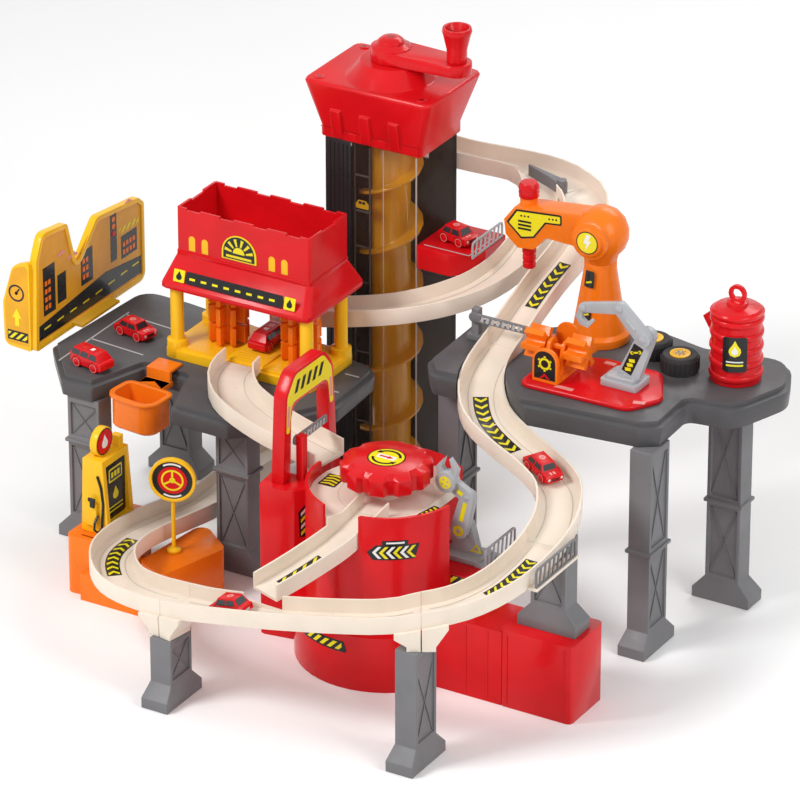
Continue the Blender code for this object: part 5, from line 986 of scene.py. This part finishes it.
# Cars: length, start and end of the roof measured from the middle, height of the side and of the roof
VAN, COUPE, BEETLE = (44, -21, 16, 9, 20), (44, -15, 9, 7.5, 17.5), (40, -14, 10, 7.5, 18.5)
CARS = {"van": VAN, "bus": VAN, "coupe_parked": COUPE, "coupe_rolling": COUPE, "beetle_shelf": BEETLE,
        "beetle_rolling": BEETLE}
HEADINGS = {row["child"]: row["axis"] for row in frame["record"]["behaviour"]["joints"] if "axis" in row}


def car_frame(node):
    """The car's own frame: its heading along +X, its up along +Z, its wheels' lowest line at zero."""
    ahead = Vector(HEADINGS[BODY_OF[node]]).normalized()
    left = Vector((-ahead.y, ahead.x, 0)).normalized()
    up = ahead.cross(left)
    source = frame["nodes"][node]
    points = [source.matrix_world @ vert.co / MM for vert in source.data.vertices]
    along, across, rise = ([point.dot(axis) for point in points] for axis in (ahead, left, up))
    matrix = Matrix((ahead, left, up)).transposed().to_4x4()
    matrix.translation = (ahead * (min(along) + max(along)) / 2 + left * (min(across) + max(across)) / 2
                          + up * min(rise))
    return matrix


def car(node, length, roof_start, roof_end, side_height, height):
    """Glass, wheels, lamps, bumpers and trim on a car."""
    body, here = BODY_OF[node], car_frame(node)

    def show(name, spot, *layers):
        prints(f"{node}_{name}", here @ spot, *layers, body=body)
    boxy = node in ("van", "bus")
    half, low, wide = length / 2, 3.12, 9.87
    belt = low + side_height
    wheels(node, here, half, wide)
    count = 4 if node == "bus" else 3 if boxy else 2
    pitch = (roof_end - roof_start - 1) / count
    lean = math.atan2(3 - wide * 0.01, height + 1 - belt)
    rise = (height - belt) / math.cos(lean) - 1.6
    for name, side in (("right", -1), ("left", 1)):
        panes = []
        for number in range(count):
            last = number == count - 1
            start = roof_start + 1.4 + pitch * number
            end = start + pitch - 1.2
            upper = start + (2.2 if number == 0 and not boxy else 0.6)
            pane = [(start, 1), (end + 1.6 * last, 1), (end - 1.5 * last, rise), (upper, rise)]
            panes.append([(-side * a, b) for a, b in pane])
        face = frame_at((0, side * wide * 1.01, belt), (0, side * math.cos(lean), math.sin(lean)))
        show("glass_" + name, face, panes, "glass_dark")
    rise = height - belt
    tall = math.hypot(rise, 5) / 2
    pane = [(2.4 - wide, 1.4 - tall), (wide - 2.4, 1.4 - tall), (wide - 3.8, tall - 1.2),
            (3.8 - wide, tall - 1.2)]
    for name, end, ahead in (("screen", roof_end, 1), ("rear_screen", roof_start, -1)):
        face = frame_at((end + 0.5, 0, belt + rise / 2), (ahead * rise, 0, 5))
        show(name, face, [pane], "glass_dark")
    lamps = [circle(1.4, 14, side * (wide - 2.6), side_height * 0.22) for side in (-1, 1)]
    grille = [rect(-4, 4, 1.2 * n - 0.6, 1.2 * n) for n in range(3)]
    show("nose", side_on(half, 0, low + side_height * 0.4), lamps, "white", grille, "black")
    lamps = [bar(1, 0.8, side * (wide - 2.2), side_height * 0.18) for side in (-1, 1)]
    tail = frame_at((-half, 0, low + side_height * 0.4), (-1, 0, 0))
    show("tail", tail, lamps, "deep_red", [rect(-3.4, 3.4, -1.2, 1)], "pale_grey")
    bumper = rect(1 - wide, wide - 1, low + 0.8, low + 2.4, 0.6)
    bumpers = [loft([[here @ Vector((side * a, b, c)) for b, c in bumper] for a in (half - 1.4, half + 0.2)])
               for side in (-1, 1)]
    detail(node + "_bumpers", bumpers, "red_plastic", body=body)
    roof = frame_at(((roof_start + roof_end) / 2, 0, height), (0, 0, 1), (1, 0, 0))
    if boxy:
        rails = [plate(rect(a - 0.4, a + 0.4, -12.5, 12), here @ roof, 0.7, -0.2) for a in (-4.8, 4.8)]
        rails += [plate(rect(-4.8, 4.8, b - 0.4, b + 0.4), here @ roof, 0.6, -0.2) for b in (-10, 0, 10)]
        detail(node + "_rack", rails, "red_plastic", 0.2, body)
        show("roof", roof, [rect(-2.6, 2.6, 3, 7, 1)], "white")
    else:
        bonnet = frame_at((half - 6, 0, belt), (0, 0, 1), (1, 0, 0))
        show("bonnet", bonnet, [rect(-3, -1, -2, 2), rect(1, 3, -2, 2)], "pink")
        show("roof", roof, [circle(3.4, 20)], "pink", slants(-2, 2, -1.4, 1.4, 1.8), "red_plastic")


def wheels(node, here, half, wide):
    """Tyres, hubs, painted rings and arches at a car's four wheels."""
    body = BODY_OF[node]
    treads, hubs, arches = [], [], []
    for number in range(4):
        along, side = ((10 - half, half - 10)[number // 2], (-1, 1)[number % 2])
        spot = here @ frame_at((along, side * 10.75, 5.2), (0, side, 0))
        treads.append(turned([(4.9, -1.6), (5.2, -1.2), (5.2, -0.2), (4.6, 0.1), (3.6, -0.1)], spot, 28))
        hubs.append(turned([(3.4, -0.4), (3.2, 0), (1.8, 0.1), (1.3, 0.5), (0.4, 0.6)], spot, 20))
        prints(f"{node}_ring_{number}", spot, ring(4.5, 4, steps=20), "pink", body=body)
        arc = [polar(6.6, 18 * n, along, 5) for n in range(11)]
        arches.append(tube([here @ Vector((a, side * (wide + 0.2), c)) for a, c in arc], 0.5, 8))
    detail(node + "_tyres", treads, "deep_red", 0, body, 50)
    detail(node + "_hubs", hubs, "red_plastic", 0, body, 50)
    detail(node + "_arches", arches, "red_plastic", 0, body, 60)


# Width and steps of the rounding on the edges of every node but the drill
EDGES = {
    (0.4, 2): "tower_window entry_gate_arm gate_arm",
    (0.5, 2): "spiral_lift grabber_base grabber_arm crane_arm oil_barrel",
    (0.5, 3): "road_sign",
    (0.6, 2): "wash_base brush_left brush_right gate_post crane_base turner_drum",
    (0.6, 3): "diverter",
    (0.7, 3): "upper_track slide_upper slide_s_curve slide_right slide_front slide_left wash_track "
              "wash_slide turner_stand",
    (0.8, 2): "tower_shell",
    (0.8, 3): "parking_shelf tray billboard gas_pump repair_plate left_leg_rear left_leg_front "
              "left_leg_inner right_leg_near right_leg_far right_leg_inner front_leg_right front_leg_left "
              "slide_leg",
    (0.9, 3): "wash_house left_platform gas_base robot_base van bus coupe_parked coupe_rolling beetle_shelf "
              "beetle_rolling",
    (1.0, 3): "crank_arm crank_knob station_base station_deck station_arch right_platform",
    (1.2, 3): "tower_head gear_knob",
    (1.4, 3): "robot_arm"}


# Stage

def studio():
    camera_data = bpy.data.cameras.new("camera")
    camera_data.lens = 270.0
    camera_data.sensor_width = 36.0
    camera = bpy.data.objects.new("camera", camera_data)
    camera.location = (2.85246, -4.82478, 2.87719)
    aim = Vector((0.12717, -0.19817, 0.200)) - camera.location
    camera.rotation_euler = aim.to_track_quat("-Z", "Y").to_euler()
    bpy.context.scene.collection.objects.link(camera)
    bpy.context.scene.camera = camera

    def lamp(name, spot, target, size, power):
        data = bpy.data.lights.new(name, "AREA")
        data.shape = "RECTANGLE"
        data.size, data.size_y = size
        data.energy = power
        made = bpy.data.objects.new(name, data)
        made.location = spot
        made.rotation_euler = (Vector(target) - Vector(spot)).to_track_quat("-Z", "Y").to_euler()
        bpy.context.scene.collection.objects.link(made)
    lamp("key", (-0.9, -1.9, 2.1), (0.1, -0.25, 0.2), (0.8, 0.8), 45.0)
    lamp("side", (2.0, -0.6, 1.5), (0.1, -0.2, 0.2), (0.9, 1.4), 18.0)
    lamp("back", (0.2, 1.8, 1.9), (0.1, -0.2, 0.3), (1.6, 0.8), 18.0)
    floor_mesh = joined([plate(rect(-6000, 6000, -6000, 6000), at(100, -200, -0.6), 0.4)], "floor")
    made, nodes, links, shader = new_material("floor_white")
    shader.inputs["Roughness"].default_value = 0.8
    speckle = add_noise(nodes, links, 3.0, 2.0)
    links.new(colour_ramp(nodes, links, speckle, [(0.3, (0.95, 0.95, 0.95)), (0.7, (0.97, 0.97, 0.97))]),
              shader.inputs["Base Color"])
    floor_mesh.data.materials.append(made)
    world = bpy.data.worlds.new("studio")
    world.use_nodes = True
    background = world.node_tree.nodes["Background"]
    background.inputs["Color"].default_value = (1.0, 1.0, 1.0, 1.0)
    tree = world.node_tree
    path = tree.nodes.new("ShaderNodeLightPath")
    sees = path.outputs["Is Camera Ray"]
    for ray in ("Is Glossy Ray", "Is Transmission Ray"):
        either = tree.nodes.new("ShaderNodeMath")
        either.operation = "MAXIMUM"
        tree.links.new(sees, either.inputs[0])
        tree.links.new(path.outputs[ray], either.inputs[1])
        sees = either.outputs["Value"]
    strength = tree.nodes.new("ShaderNodeMapRange")
    strength.inputs["To Min"].default_value = 0.50
    strength.inputs["To Max"].default_value = 1.0
    tree.links.new(sees, strength.inputs["Value"])
    tree.links.new(strength.outputs["Result"], background.inputs["Strength"])
    bpy.context.scene.world = world
    bpy.context.scene.view_settings.view_transform = "Standard"


studio()
for (width, segments), nodes in EDGES.items():
    for node in nodes.split():
        dressed(node, width, segments)
for node in FENCES:
    fence(node)
for build in (tracks, tower, tower_top, wash, left_deck, board_face, wing_face, fuel, sign_face, station,
              arch_print, lower_front, claw, legs, right_deck, tyres, robot, drill, leg_prints, turner,
              crane, barrel):
    build()
for model, style in CARS.items():
    car(model, *style)
